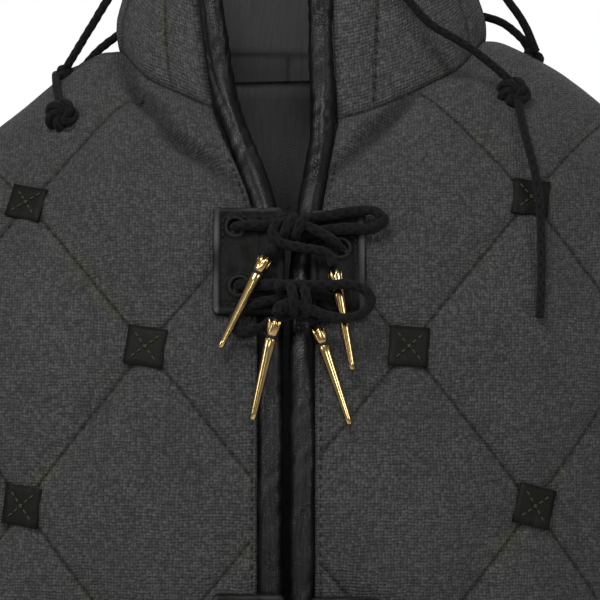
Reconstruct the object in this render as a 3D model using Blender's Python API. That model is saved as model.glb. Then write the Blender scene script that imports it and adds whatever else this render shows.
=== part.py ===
"""Gambeson: a padded, quilted arming coat with a stand collar, laced down the front.

The coat keeps the hollow form that it has when worn. Its frame is +Z up, the
front faces -Y, and the origin lies between the two ends of the neck seam, at
the height of the shoulders. Sizes in this file are millimetres until a mesh
is made. Every panel is drawn in its own flat cut, (q, t): q runs round the
body from the middle of the front or back, and t runs up it.
"""
import math

import bmesh
import bpy
import numpy as np
from mathutils import Vector
from mathutils.geometry import delaunay_2d_cdt

MM = 0.001
SEAM_GAP = 0.3

# Padded cloth
WALL = 5.0
PADDING = 3.6
QUILT_HALF_WIDTH = 58.0
QUILT_HALF_HEIGHT = 71.0
FRONT_QUILT = (-4.5, -198.0)
BACK_QUILT = (0.0, -198.0)
EDGE_STEP = 44.0
EDGE_MARGIN = 9.0

# Body: rings below the armpits, and a shoulder ridge above them
CHEST = -215.0
HEM = -850.0
BODY_ROWS = (  # height, half_width, front_depth, back_depth
    (-215.0, 200.0, 140.0, 125.0),
    (-320.0, 189.0, 134.0, 118.0),
    (-420.0, 180.0, 128.0, 113.0),
    (-520.0, 189.0, 134.0, 122.0),
    (-620.0, 205.0, 146.0, 136.0),
    (-740.0, 226.0, 160.0, 152.0),
    (-850.0, 246.0, 174.0, 166.0),
)
RIDGE_TOP, RIDGE_ROLL, RIDGE_SLOPE = 13.6, 0.027, 0.58
RIDGE_REACH, RIDGE_SOFTNESS = 75.0, 30.0
FRONT, BACK = -1, 1
FULLNESS = {FRONT: 1.0, BACK: 0.85}
SHOULDER_FULLNESS = 0.42

# Neck and collar
NECK_X, NECK_RADIUS, NECK_DIP = 8.0, 80.5, 30.0
COLLAR_ROWS = (  # share of the height, sideways radius, its middle, front-to-back radius, its middle
    (0.0, 80.5, 8.0, 63.0, -18.0),
    (1.0, 71.0, 5.0, 55.0, -14.0),
)
COLLAR_SIDE_TOP, COLLAR_FRONT_TOP = 70.0, 46.0
COLLAR_CHANNEL, COLLAR_CHANNELS, COLLAR_PADDING = 40.0, 9, 2.6

# Front edges and their rolled leather binding
BINDING_HALF_WIDTH, BINDING_HALF_DEPTH, BINDING_SINK = 5.5, 5.5, 2.5
FRONT_EDGES = (  # height, middle of the left binding, middle of the right one
    (60.0, -36.5, 13.0),
    (46.0, -35.0, 13.5),
    (25.0, -33.2, 15.2),
    (0.0, -29.7, 16.9),
    (-26.0, -23.1, 17.2),
    (-47.0, -15.8, 13.2),
    (-67.0, -9.2, 9.5),
    (-90.0, -7.3, 6.6),
    (-450.0, -7.3, 6.6),
    (-850.0, -17.0, 16.0),
)

# Armholes and sleeves
ARM_TIP = 223.0
ARM_BITE = {FRONT: 58.0, BACK: 44.0}
SLEEVE_ROWS = (  # outer_x, outer_z, inner_x, inner_z, half_depth, middle_y
    (192.0, -56.0, 200.5, -215.0, 66.0, 0.0),
    (234.0, -74.0, 205.0, -221.0, 72.0, 0.0),
    (272.0, -104.0, 209.0, -228.0, 70.0, 0.0),
    (300.0, -150.0, 213.0, -240.0, 68.0, 0.0),
    (318.0, -212.0, 217.0, -262.0, 66.0, 0.0),
    (330.0, -292.0, 223.0, -322.0, 64.0, 0.0),
    (338.0, -378.0, 234.0, -400.0, 60.0, -3.0),
    (345.0, -465.0, 250.0, -482.0, 54.0, -10.0),
    (352.0, -552.0, 266.0, -565.0, 48.0, -18.0),
    (358.0, -634.0, 280.0, -644.0, 43.0, -27.0),
)
SLEEVE_BLEND = 150.0
SLEEVE_QUILTS_ROUND = 4

# Lacing
PAIR_PITCH = 167.0
PAIRS = ("chest", "waist", "hip")
PATCH_LIFT, PATCH_THICKNESS, EYELET_RADIUS = 3.5, 2.4, 4.0
PATCHES = (  # name, x from, x to, z from, z to, and the height and place of its two eyelets
    ("left", -32.4, -1.0, -115.0, -68.2, ((-22.4, -77.0), (-20.7, -102.7))),
    ("right", 9.9, 34.3, -116.5, -69.5, ((23.3, -86.2), (19.5, -108.0))),
)
LACE_RADIUS = 2.25
LACES = {  # x, z, and how far the middle of the lace is off the cloth
    "upper_a": (
        (-22.4, -77.0, 4.6), (-21.6, -77.2, 7.0), (-17.0, -77.8, 8.9), (-8.0, -78.0, 8.9),
        (4.0, -76.5, 8.9), (16.0, -74.0, 8.9), (28.0, -72.0, 8.9), (37.5, -71.6, 8.9),
        (42.0, -75.4, 8.9), (37.5, -79.0, 8.9), (27.0, -79.2, 8.9), (14.0, -80.4, 8.9),
        (3.0, -83.5, 8.9), (-4.0, -87.0, 9.6), (-8.0, -91.4, 10.4),
    ),
    "upper_b": (
        (23.3, -86.2, 4.6), (22.4, -86.0, 7.4), (18.5, -84.8, 12.4), (12.0, -82.0, 14.4),
        (4.0, -78.8, 14.4), (-3.5, -79.3, 14.4), (-6.0, -83.5, 14.4), (-2.0, -87.5, 14.2),
        (6.0, -89.0, 13.6), (14.0, -90.4, 13.0), (18.4, -92.8, 12.6), (19.8, -96.4, 12.3),
    ),
    "lower_a": (
        (-20.7, -102.7, 4.6), (-20.3, -102.8, 8.8), (-18.0, -103.0, 13.4), (-12.5, -103.4, 15.4),
        (-5.0, -104.5, 16.2), (4.0, -105.8, 16.8), (14.0, -106.0, 17.2), (24.0, -105.6, 17.4),
        (31.5, -107.4, 17.4), (35.0, -112.5, 17.4), (31.0, -118.0, 17.4), (22.0, -119.6, 17.2),
        (12.0, -116.8, 16.8), (3.0, -113.4, 16.4), (-2.8, -114.4, 16.4), (-4.4, -118.0, 16.8),
    ),
    "lower_b": (
        (19.5, -108.0, 4.6), (17.9, -107.9, 7.8), (14.0, -107.8, 9.4), (5.0, -108.4, 8.9),
        (-6.0, -109.6, 9.8), (-14.0, -111.2, 13.2), (-20.5, -114.2, 15.6), (-22.8, -119.3, 15.6),
        (-18.5, -123.4, 14.6), (-11.0, -121.6, 11.6), (-3.0, -117.6, 8.9), (4.0, -115.6, 8.9),
        (9.5, -116.8, 8.9), (12.4, -119.4, 8.9),
    ),
}
AGLET_TIPS = {  # x, z, and how far the tip is off the cloth
    "upper_a": (-28.2, -130.2, 9.6),
    "upper_b": (28.2, -141.7, 10.0),
    "lower_a": (-14.5, -160.2, 9.5),
    "lower_b": (25.5, -158.4, 7.5),
}
AGLET_PROFILE = (  # distance from the head, radius
    (0.0, 3.3), (2.4, 2.9), (5.0, 2.0), (7.0, 2.5), (12.0, 2.3), (43.0, 1.3), (46.0, 0.6),
)
AGLET_SIDES = 8

# Leather squares on the crossings that face the front: column, row of the quilting
SQUARES = {
    "square_left_a": (-1, 1), "square_right_a": (1, 1),
    "square_left_b": (-2, 2), "square_right_b": (2, 2),
    "square_left_c": (-2, 0), "square_right_c": (2, 0),
}
SQUARE_SIDE, SQUARE_LIFT, SQUARE_THICKNESS, SQUARE_TILT = 18.0, 1.2, 1.8, math.radians(-9.0)

# Cords at the shoulders: x, y, z of the middle of the cord
CORD_RADIUS = 1.9
CORDS = {
    "cord_left_front": ((-73.6, -34.0, 37.0), (-79.5, -33.0, 24.0), (-88.0, -30.0, 10.0), (-96.2, -27.8, -3.2)),
    "cord_left_back": ((-74.3, 8.0, 17.0), (-79.0, 0.0, 12.4), (-85.5, -10.0, 4.6), (-97.0, -22.6, -4.4)),
    "cord_right_front": (
        (43.0, -67.5, 36.0), (53.7, -68.0, 25.0), (66.0, -66.0, 14.2), (80.0, -62.0, 5.0), (96.4, -58.2, -7.6),
    ),
    "cord_right_back": ((82.0, -20.0, 45.0), (89.5, -18.0, 34.0), (97.2, -14.0, 22.0), (106.8, -8.0, 8.2)),
    "cord_right_loop": ((85.2, 17.6, 20.6), (94.5, 12.0, 14.5), (102.0, 4.0, 9.2), (106.6, -2.6, 6.4)),
}
TAIL = (  # x, z and distance off the cloth of the cord that hangs from the right shoulder
    (101.5, -19.5, 7.0), (104.5, -36.0, 7.2), (107.5, -50.0, 7.8), (109.6, -64.0, 8.0),
    (110.3, -80.0, 7.4), (110.4, -98.0, 6.6), (109.4, -116.0, 6.2),
)
KNOTS = {  # x, y, z, radius
    "knot_left": (-99.6, -26.8, -6.6, 4.6),
    "knot_right_front": (100.6, -57.0, -11.0, 5.0),
    "knot_right_back": (109.6, -7.0, 0.9, 4.8),
}


def material(name, colour, roughness, metallic=0.0):
    """Returns a Principled material of one colour."""
    made = bpy.data.materials.new(name)
    made.use_nodes = True
    shader = made.node_tree.nodes["Principled BSDF"]
    shader.inputs["Base Color"].default_value = (*colour, 1.0)
    shader.inputs["Roughness"].default_value = roughness
    shader.inputs["Metallic"].default_value = metallic
    made.diffuse_color = (*colour, 1.0)
    return made


def smooth_rows(rows, at):
    """Reads a table at the given values of its first column, on a smooth curve."""
    table = np.array(sorted(rows), float)
    keys, values = table[:, 0], table[:, 1:]
    slopes = np.gradient(values, keys, axis=0)
    slopes[-1] = 0.0
    at = np.clip(np.asarray(at, float), keys[0], keys[-1])
    i = np.clip(np.searchsorted(keys, at) - 1, 0, len(keys) - 2)
    span = (keys[i + 1] - keys[i])[..., None]
    s = (at - keys[i])[..., None] / span
    return (
        (2 * s**3 - 3 * s**2 + 1) * values[i] + (s**3 - 2 * s**2 + s) * span * slopes[i]
        + (3 * s**2 - 2 * s**3) * values[i + 1] + (s**3 - s**2) * span * slopes[i + 1]
    )


def arc_table(side):
    """Distance round the chest ring against its angle, a little past the side seam."""
    angle = np.linspace(0.0, math.radians(100.0), 401)
    _, half, front, back = BODY_ROWS[0]
    depth = front if side == FRONT else back
    speed = np.hypot(half * np.cos(angle), depth * np.sin(angle))
    arc = np.concatenate([[0.0], np.cumsum((speed[1:] + speed[:-1]) / 2 * np.diff(angle))])
    return np.concatenate([-arc[:0:-1], arc]), np.concatenate([-angle[:0:-1], angle])


ARC = {side: arc_table(side) for side in (FRONT, BACK)}
SIDE_SEAM = {side: float(np.interp(math.pi / 2, ARC[side][1], ARC[side][0])) for side in (FRONT, BACK)}


def ridge_height(x):
    """Height of the shoulder line over x."""
    out = np.abs(x - NECK_X) - RIDGE_REACH
    return RIDGE_TOP + RIDGE_ROLL * (x - NECK_X) - RIDGE_SLOPE * (out + np.hypot(out, RIDGE_SOFTNESS)) / 2


def climb(angle, rise, across):
    """Length of cloth from the armpit's height to the given angle of the upper curve."""
    def speed(a):
        return np.hypot(rise * np.cos(a), across * np.sin(a))
    return angle / 6 * (speed(0.0) + 4 * speed(angle / 2) + speed(angle))


def body(q, t, side):
    """The cloth's stitched outer surface at (q, t) of the front's or back's cut."""
    q, t = np.broadcast_arrays(np.asarray(q, float), np.asarray(t, float))
    angle = np.interp(q, *ARC[side])
    half, front, back = np.moveaxis(smooth_rows(BODY_ROWS, np.minimum(t, CHEST)), -1, 0)
    x = half * np.sin(angle)
    across = np.maximum((front if side == FRONT else back) * np.cos(angle), 1.0)
    rise = ridge_height(x) - CHEST
    up = np.maximum(t - CHEST, 0.0)
    bend = up / rise
    for _ in range(24):
        bend = bend - (climb(bend, rise, across) - up) / np.maximum(
            np.hypot(rise * np.cos(bend), across * np.sin(bend)), 20.0)
    turned = np.cos(bend)
    depth = (front if side == FRONT else back) * np.cos(angle)
    roundness = FULLNESS[side] - SHOULDER_FULLNESS * np.sin(angle) ** 2
    y = side * depth * np.sign(turned) * np.abs(turned) ** roundness
    z = np.where(t < CHEST, t, CHEST + rise * np.sin(bend))
    return np.stack([x, y, z], -1)


def cut_place(x, z, side=FRONT):
    """The (q, t) of the point of the front or back that is seen at x, z."""
    x, z = np.broadcast_arrays(np.asarray(x, float), np.asarray(z, float))
    half, front, back = np.moveaxis(smooth_rows(BODY_ROWS, np.minimum(z, CHEST)), -1, 0)
    angle = np.arcsin(np.clip(x / half, -1, 1))
    q = np.interp(angle, ARC[side][1], ARC[side][0])
    rise = ridge_height(x) - CHEST
    bend = np.arcsin(np.clip((z - CHEST) / rise, 0.0, 1.0))
    across = (front if side == FRONT else back) * np.cos(angle)
    return q, np.where(z < CHEST, z, CHEST + climb(bend, rise, across))


def ridge_place(q, side, short=SEAM_GAP / 2):
    """The t of the shoulder seam at q, stopping short of the shoulder line."""
    _, half, front, back = BODY_ROWS[0]
    angle = np.interp(q, *ARC[side])
    rise = ridge_height(half * np.sin(angle)) - CHEST
    across = (front if side == FRONT else back) * np.cos(angle)
    roundness = FULLNESS[side] - SHOULDER_FULLNESS * np.sin(angle) ** 2
    return CHEST + climb(math.pi / 2 - (short / across) ** (1 / roundness), rise, across)


def normals(place, a, b, step=1.5):
    """Unit normals of a surface given as a function of two coordinates."""
    across = place(a + step, b) - place(a - step, b)
    along = place(a, b + step) - place(a, b - step)
    n = np.cross(across, along)
    return n / np.maximum(np.linalg.norm(n, axis=-1, keepdims=True), 1e-9)


def pillow(a, b):
    """Height of a quilted cell, 0 on its stitched lines and 1 in its middle."""
    fa, fb = a - np.floor(a), b - np.floor(b)
    return np.sqrt(np.clip(16 * fa * (1 - fa) * fb * (1 - fb), 0, 1))


def edge_distance(points, outline):
    """Distance from each point to a closed outline, negative outside it."""
    a, b = outline, np.roll(outline, -1, axis=0)
    d = b - a
    to = points[:, None] - a
    share = np.clip((to * d).sum(-1) / np.maximum((d * d).sum(-1), 1e-12), 0, 1)
    far = np.linalg.norm(to - share[..., None] * d, axis=-1).min(1)
    crosses = (a[:, 1] > points[:, None, 1]) != (b[:, 1] > points[:, None, 1])
    at = a[:, 0] + (points[:, None, 1] - a[:, 1]) / np.where(d[:, 1] == 0, 1e-12, d[:, 1]) * d[:, 0]
    inside = (crosses & (points[:, None, 0] < at)).sum(1) % 2 == 1
    return np.where(inside, far, -far)


def quilt_net(outline, start, half):
    """Stitched lines and raised points of the quilting that lie inside an outline."""
    lines, raised = [], []
    low = np.floor((outline.min(0) - start) / half).astype(int) - 1
    high = np.ceil((outline.max(0) - start) / half).astype(int) + 1
    for i in range(low[0], high[0] + 1):
        for j in range(low[1], high[1] + 1):
            middle = start + np.array([i, j]) * half
            if (i + j) % 2:
                raised += [middle] + [middle + np.array(s) * half for s in ((0.5, 0), (-0.5, 0), (0, 0.5), (0, -0.5))]
                continue
            for turn in ((1, 1), (1, -1)):
                step = np.array(turn) * half / 2
                lines += [(middle, middle + step), (middle + step, middle + 2 * step)]
    kept = []
    for a, b in lines:
        trail = a + np.linspace(0, 1, 24)[:, None] * (b - a)
        clear = edge_distance(trail, outline) > EDGE_MARGIN
        if clear.all():
            kept.append((a, b))
        elif clear.any():
            run = trail[clear]
            if np.linalg.norm(run[-1] - run[0]) > 14.0:
                kept.append((run[0], run[-1]))
    raised = np.array(raised)
    return kept, raised[edge_distance(raised, outline) > EDGE_MARGIN + 3.0]


def triangles_of(outline, lines=(), loose=(), holes=()):
    """Triangulates an outline with lines, loose points and holes in it."""
    points, edges = [], []
    for ring in [outline, *holes]:
        first = len(points)
        points += [tuple(p) for p in ring]
        edges += [(first + k, first + (k + 1) % len(ring)) for k in range(len(ring))]
    known = {}
    for a, b in lines:
        for end in (a, b):
            key = (round(float(end[0]), 2), round(float(end[1]), 2))
            if key not in known:
                known[key] = len(points)
                points.append(tuple(end))
        ends = [known[(round(float(e[0]), 2), round(float(e[1]), 2))] for e in (a, b)]
        edges.append(tuple(ends))
    points += [tuple(p) for p in loose]
    made = delaunay_2d_cdt([Vector(p) for p in points], edges, [], 0, 1e-5, False)
    flat = np.array([tuple(p) for p in made[0]])
    faces = np.array([tuple(f) for f in made[2]])
    middles = flat[faces].mean(1)
    keep = edge_distance(middles, outline) > 0
    for hole in holes:
        keep &= edge_distance(middles, np.array(hole)) < 0
    return flat, faces[keep]


def wall_mesh(name, outer, inner, faces, finish, joined=frozenset()):
    """Closes a triangulated sheet between its outer and inner points; joined points are a tube's own seam."""
    used = np.unique(faces)
    number = {int(v): k for k, v in enumerate(used)}
    faces = [[number[int(v)] for v in face] for face in faces]
    seam = {number[v] for v in joined}
    mesh = bmesh.new()
    top = [mesh.verts.new(Vector(outer[v]) * MM) for v in used]
    bottom = [mesh.verts.new(Vector(inner[v]) * MM) for v in used]
    sides = {}
    for a, b, c in faces:
        mesh.faces.new((top[a], top[b], top[c]))
        mesh.faces.new((bottom[c], bottom[b], bottom[a]))
        for edge in ((a, b), (b, c), (c, a)):
            sides[edge] = sides.get(edge, 0) + 1
    for a, b in sides:
        if (b, a) not in sides and not (a in seam and b in seam):
            mesh.faces.new((top[b], top[a], bottom[a], bottom[b]))
    return finish_mesh(name, mesh, finish)


def finish_mesh(name, mesh, finish, weld=1e-5):
    """Turns a bmesh into a named object of the coat's collection."""
    bmesh.ops.remove_doubles(mesh, verts=mesh.verts, dist=weld)
    bmesh.ops.triangulate(mesh, faces=mesh.faces)
    bmesh.ops.recalc_face_normals(mesh, faces=mesh.faces)
    if mesh.calc_volume(signed=True) < 0:
        bmesh.ops.reverse_faces(mesh, faces=mesh.faces)
    data = bpy.data.meshes.new(name)
    mesh.to_mesh(data)
    mesh.free()
    data.materials.append(finish)
    made = bpy.data.objects.new(name, data)
    bpy.data.collections["gambeson"].objects.link(made)
    return made


def front_edge(z, hand):
    """The x of the middle of the left (0) or right (1) binding at height z."""
    rows = np.array(FRONT_EDGES)[::-1]
    return np.interp(z, rows[:, 0], rows[:, 1 + hand])


def neck_seam(angle):
    """Points of the neck seam; angle is 0 at the front and grows to the wearer's left."""
    angle = np.asarray(angle, float)
    x = NECK_X + NECK_RADIUS * np.sin(angle)
    z = 3.0 + RIDGE_ROLL * (x - NECK_X) - NECK_DIP * np.maximum(np.cos(angle), 0.0) ** 2.5
    side = np.where(np.cos(angle) >= 0, FRONT, BACK)
    spots = np.empty(angle.shape + (3,))
    for which in (FRONT, BACK):
        q, t = cut_place(x, z, which)
        spots = np.where((side == which)[..., None], body(q, t, which), spots)
    return spots


def seam_angle(hand, z=-24.0):
    """Angle at which the outer side of a binding meets the neck seam."""
    x = front_edge(z, hand) + (-1, 1)[hand] * (BINDING_HALF_WIDTH + 3 * SEAM_GAP)
    return math.asin((x - NECK_X) / NECK_RADIUS)


def evenly(points, step):
    """Points on a polyline at equal steps, its ends kept."""
    points = np.asarray(points, float)
    length = np.concatenate([[0], np.cumsum(np.linalg.norm(np.diff(points, axis=0), axis=1))])
    count = max(int(math.ceil(length[-1] / step)), 1)
    at = np.linspace(0, length[-1], count + 1)
    return np.stack([np.interp(at, length, points[:, k]) for k in range(points.shape[1])], 1)


def armhole(side, count, sign=1):
    """The armhole's (q, t) on one side of the body, from the side seam's top to the shoulder's tip."""
    share = np.linspace(0, 1, count + 1)
    reach = SIDE_SEAM[side]
    tip = ARM_TIP * reach / SIDE_SEAM[FRONT]
    q = reach - (reach - tip) * np.sin(share * math.pi / 2) - ARM_BITE[side] * np.sin(share * math.pi) ** 2
    q = q * sign
    top = ridge_place(q, side)
    return np.stack([q, CHEST + (top - CHEST) * (1 - np.cos(share * math.pi / 2))], 1)


def mirrored(points):
    """Points with q turned over."""
    return points * np.array([-1.0, 1.0])


def side_edge(side):
    """The side seam's (q, t), from the hem up to the armhole."""
    t = np.linspace(HEM, CHEST, 15)
    return np.stack([np.full_like(t, SIDE_SEAM[side] - SEAM_GAP / 2), t], 1)


def shoulder_edge(side, q_from, q_to):
    """The shoulder seam's (q, t) between two places on it."""
    q = np.linspace(q_from, q_to, 5)
    return np.stack([q, ridge_place(q, side)], 1)


def front_outline(hand):
    """The cut of the left (0) or right (1) front."""
    sign = (-1, 1)[hand]
    z = np.array([-40.0, -53.0, -67.0, -90.0, *np.linspace(-130.0, HEM, 18)])
    x = front_edge(z, hand) + sign * (BINDING_HALF_WIDTH + SEAM_GAP)
    edge = np.stack(cut_place(x, z), 1)
    side = side_edge(FRONT)[:-1] * np.array([sign, 1.0])
    outer = np.concatenate([side, armhole(FRONT, 8, sign)[:-1]])
    hem = np.stack([np.linspace(edge[-1, 0], outer[0, 0], 8)[1:-1], np.full(6, HEM)], 1)
    angles = np.linspace(seam_angle(hand), sign * math.radians(88.0), 7)
    neck = neck_seam(angles)
    neck_cut = np.stack(cut_place(neck[:, 0], neck[:, 2]), 1)
    ridge = shoulder_edge(FRONT, sign * ARM_TIP, neck_cut[-1, 0])
    return np.concatenate([edge, hem, outer, ridge[:-1], neck_cut[::-1]])


def back_outline():
    """The cut of the back."""
    right = np.concatenate([side_edge(BACK)[:-1], armhole(BACK, 8)[:-1]])
    left_arm = armhole(BACK, 8, -1)[:-1]
    tip = ARM_TIP * SIDE_SEAM[BACK] / SIDE_SEAM[FRONT]
    angles = np.radians([92.0, 107.0, 125.0, 143.0, 162.0, 180.0, 198.0, 217.0, 235.0, 253.0, 268.0])
    neck = neck_seam(angles)
    neck_cut = np.stack(cut_place(neck[:, 0], neck[:, 2], BACK), 1)
    right_ridge = shoulder_edge(BACK, tip, neck_cut[0, 0])
    left_ridge = shoulder_edge(BACK, neck_cut[-1, 0], -tip)
    hem = np.stack([np.linspace(-SIDE_SEAM[BACK], SIDE_SEAM[BACK], 14)[1:-1], np.full(12, HEM)], 1)
    return np.concatenate([
        right, right_ridge[:-1], neck_cut, left_ridge[1:], left_arm[::-1], mirrored(side_edge(BACK)[:-1])[::-1], hem,
    ])


def quilted(name, outline, start, side, finish):
    """A quilted panel of the body: plain inside, padded cells outside."""
    start, half = np.array(start), np.array([QUILT_HALF_WIDTH, QUILT_HALF_HEIGHT])
    lines, raised = quilt_net(outline, start, half)
    flat, faces = triangles_of(outline, lines, raised)
    cells = (flat - start) / half
    lift = PADDING * pillow((cells[:, 0] + cells[:, 1]) / 2, (cells[:, 0] - cells[:, 1]) / 2)
    lift *= np.clip(edge_distance(flat, outline) / 24.0, 0, 1)

    def place(q, t):
        return body(q, t, side)

    base = place(flat[:, 0], flat[:, 1])
    out = normals(place, flat[:, 0], flat[:, 1]) * -side
    return wall_mesh(name, base + out * lift[:, None], base - out * WALL, faces, finish)


def sleeve_surface(hand):
    """Returns the sleeve's surface as a function of the turn and the length, and its length."""
    rows = np.array(SLEEVE_ROWS)
    middles = (rows[:, :2] + rows[:, 2:4]) / 2
    along = np.concatenate([[0.0], np.cumsum(np.linalg.norm(np.diff(middles, axis=0), axis=1))])
    table = [(a, *r) for a, r in zip(along, rows)]
    sign = (-1, 1)[hand]
    rims = {side: armhole(side, 48, sign) for side in (FRONT, BACK)}
    loops = {side: body(rim[:, 0], rim[:, 1], side) * np.array([sign, 1, 1]) for side, rim in rims.items()}

    def place(turn, length):
        turn, length = np.broadcast_arrays(np.asarray(turn, float), np.asarray(length, float))
        row = smooth_rows(table, length)
        ends = (row[..., 0:2], row[..., 2:4])
        swing = -np.cos(turn * 2 * math.pi)[..., None]
        spot = (ends[0] + ends[1]) / 2 + swing * (ends[0] - ends[1]) / 2
        ring = np.stack([spot[..., 0], row[..., 5] - row[..., 4] * np.sin(turn * 2 * math.pi), spot[..., 1]], -1)
        share = np.mod(turn, 1.0) * 2
        seam = np.empty_like(ring)
        grid = np.linspace(0, 1, 49)
        for side in (FRONT, BACK):
            at = share if side == FRONT else 2 - share
            loop = np.stack([np.interp(at, grid, loops[side][:, k]) for k in range(3)], -1)
            seam = np.where(((share <= 1) == (side == FRONT))[..., None], loop, seam)
        start = ring_at_start(turn, table)
        fade = np.clip(1 - length / SLEEVE_BLEND, 0, 1)[..., None] ** 2
        point = ring + fade * (seam - start)
        point[..., 0] += SEAM_GAP
        return point * np.array([sign, 1, 1])

    return place, along[-1]


def ring_at_start(turn, table):
    """The plain oval of the sleeve's first row."""
    row = np.array(table[0][1:])
    swing = -np.cos(turn * 2 * math.pi)
    x = (row[0] + row[2]) / 2 + swing * (row[0] - row[2]) / 2
    z = (row[1] + row[3]) / 2 + swing * (row[1] - row[3]) / 2
    return np.stack([x, row[5] - row[4] * np.sin(turn * 2 * math.pi), z], -1)


def sleeve(name, hand, finish):
    """A quilted tube from the armhole to the cuff, seamed along the underarm."""
    place, length = sleeve_surface(hand)
    girth = QUILT_HALF_WIDTH * 2 * SLEEVE_QUILTS_ROUND
    rise = np.linspace(0, length, 15)
    turns = np.linspace(0, girth, 17)
    outline = np.concatenate([
        np.stack([turns[:-1], np.zeros(16)], 1), np.stack([np.full(14, girth), rise[:-1]], 1),
        np.stack([turns[:0:-1], np.full(16, length)], 1), np.stack([np.zeros(14), rise[:0:-1]], 1),
    ])
    start, half = np.array([girth / 2, length / 2]), np.array([QUILT_HALF_WIDTH, QUILT_HALF_HEIGHT])
    lines, raised = quilt_net(outline, start, half)
    flat, faces = triangles_of(outline, lines, raised)
    cells = (flat - start) / half
    lift = PADDING * pillow((cells[:, 0] + cells[:, 1]) / 2, (cells[:, 0] - cells[:, 1]) / 2)
    lift *= np.clip(edge_distance(flat, outline) / 24.0, 0, 1)

    def at(q, t):
        return place(q / girth, t)

    base = at(flat[:, 0], flat[:, 1])
    out = normals(at, flat[:, 0], flat[:, 1])
    row = flat[:, 1] < 1e-6
    centre = np.array([(-1, 1)[hand] * 196.0, 0.0, -136.0])
    radial = (base - centre) * np.array([0.0, 1.0, 1.0])
    radial /= np.linalg.norm(radial, axis=1, keepdims=True)
    outward = (out * (base - centre)).sum(1) > 0
    flip = 1.0 if outward.mean() > 0.5 else -1.0
    out = np.where(row[:, None], radial, out * flip)
    joined = {int(v) for v in np.flatnonzero((flat[:, 0] < 1e-6) | (flat[:, 0] > girth - 1e-6))}
    return wall_mesh(name, base + out * lift[:, None], base - out * WALL, faces, finish, joined)


def collar_surface():
    """Returns the collar as a function of the turn (0 at its right front end) and the height's share."""
    def edge(hand, share):
        low = seam_angle(hand)
        x = front_edge(COLLAR_FRONT_TOP, hand) + (-1, 1)[hand] * (BINDING_HALF_WIDTH + SEAM_GAP)
        high = math.asin((x - COLLAR_ROWS[1][2]) / COLLAR_ROWS[1][1])
        return low + (high - low) * share

    def place(turn, share):
        turn, share = np.broadcast_arrays(np.asarray(turn, float), np.asarray(share, float))
        first, last = edge(1, share), edge(0, share) + 2 * math.pi
        angle = first + (last - first) * turn
        foot = neck_seam(angle)
        _, wide, middle, deep, back = COLLAR_ROWS[1]
        front = np.maximum(np.cos(angle), 0.0) ** 2
        head = np.stack([
            middle + wide * np.sin(angle), back - deep * np.cos(angle),
            COLLAR_SIDE_TOP - (COLLAR_SIDE_TOP - COLLAR_FRONT_TOP) * front,
        ], -1)
        point = foot + (head - foot) * share[..., None]
        point[..., 2] += SEAM_GAP
        return point

    return place


def collar(name, finish):
    """The padded stand collar in upright channels."""
    place = collar_surface()
    turns = np.linspace(0, 1, COLLAR_CHANNELS * 3 + 1)
    shares = np.linspace(0, 1, 4)
    a, b = np.meshgrid(turns, shares, indexing="ij")
    flat = np.stack([a.ravel(), b.ravel()], 1)
    rows = len(shares)
    faces = []
    for i in range(len(turns) - 1):
        for j in range(rows - 1):
            p = i * rows + j
            faces += [(p, p + rows, p + rows + 1), (p, p + rows + 1, p + 1)]
    ridge = (np.arange(len(turns)) % 3 != 0).astype(float)
    lift = COLLAR_PADDING * np.repeat(ridge, rows)
    lift *= np.where((flat[:, 1] < 1e-6) | (flat[:, 1] > 1 - 1e-6), 0.0, 1.0)
    base = place(flat[:, 0], flat[:, 1])
    step = 0.004
    across = place(flat[:, 0] + step, flat[:, 1]) - place(flat[:, 0] - step, flat[:, 1])
    along = place(flat[:, 0], np.full(len(flat), 1.0)) - place(flat[:, 0], np.zeros(len(flat)))
    out = np.cross(across, along)
    out[:, 2] = 0.0
    out /= np.linalg.norm(out, axis=1, keepdims=True)
    return wall_mesh(name, base + out * lift[:, None], base - out * WALL, np.array(faces), finish)


def front_point(x, z, off):
    """Points off the cloth of the front, seen at x, z."""
    q, t = cut_place(x, z)

    def place(a, b):
        return body(a, b, FRONT)

    return place(q, t) + normals(place, q, t) * np.asarray(off, float)[..., None]


def swept(name, path, wide, deep, finish, sides=8, half=(5.5, 5.5)):
    """A rounded bar along a path, with the given width and depth directions."""
    mesh = bmesh.new()
    rings = []
    for spot, w, d in zip(path, wide, deep):
        ring = []
        for k in range(sides):
            a = 2 * math.pi * (k + 0.5) / sides
            ring.append(mesh.verts.new(Vector(spot + w * half[0] * math.cos(a) + d * half[1] * math.sin(a)) * MM))
        rings.append(ring)
    for low, high in zip(rings, rings[1:]):
        for k in range(sides):
            n = (k + 1) % sides
            mesh.faces.new((low[k], low[n], high[n], high[k]))
    mesh.faces.new(rings[0][::-1])
    mesh.faces.new(rings[-1])
    return finish_mesh(name, mesh, finish)


def unit(v):
    """Vectors made one long."""
    return v / np.linalg.norm(v, axis=-1, keepdims=True)


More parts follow.
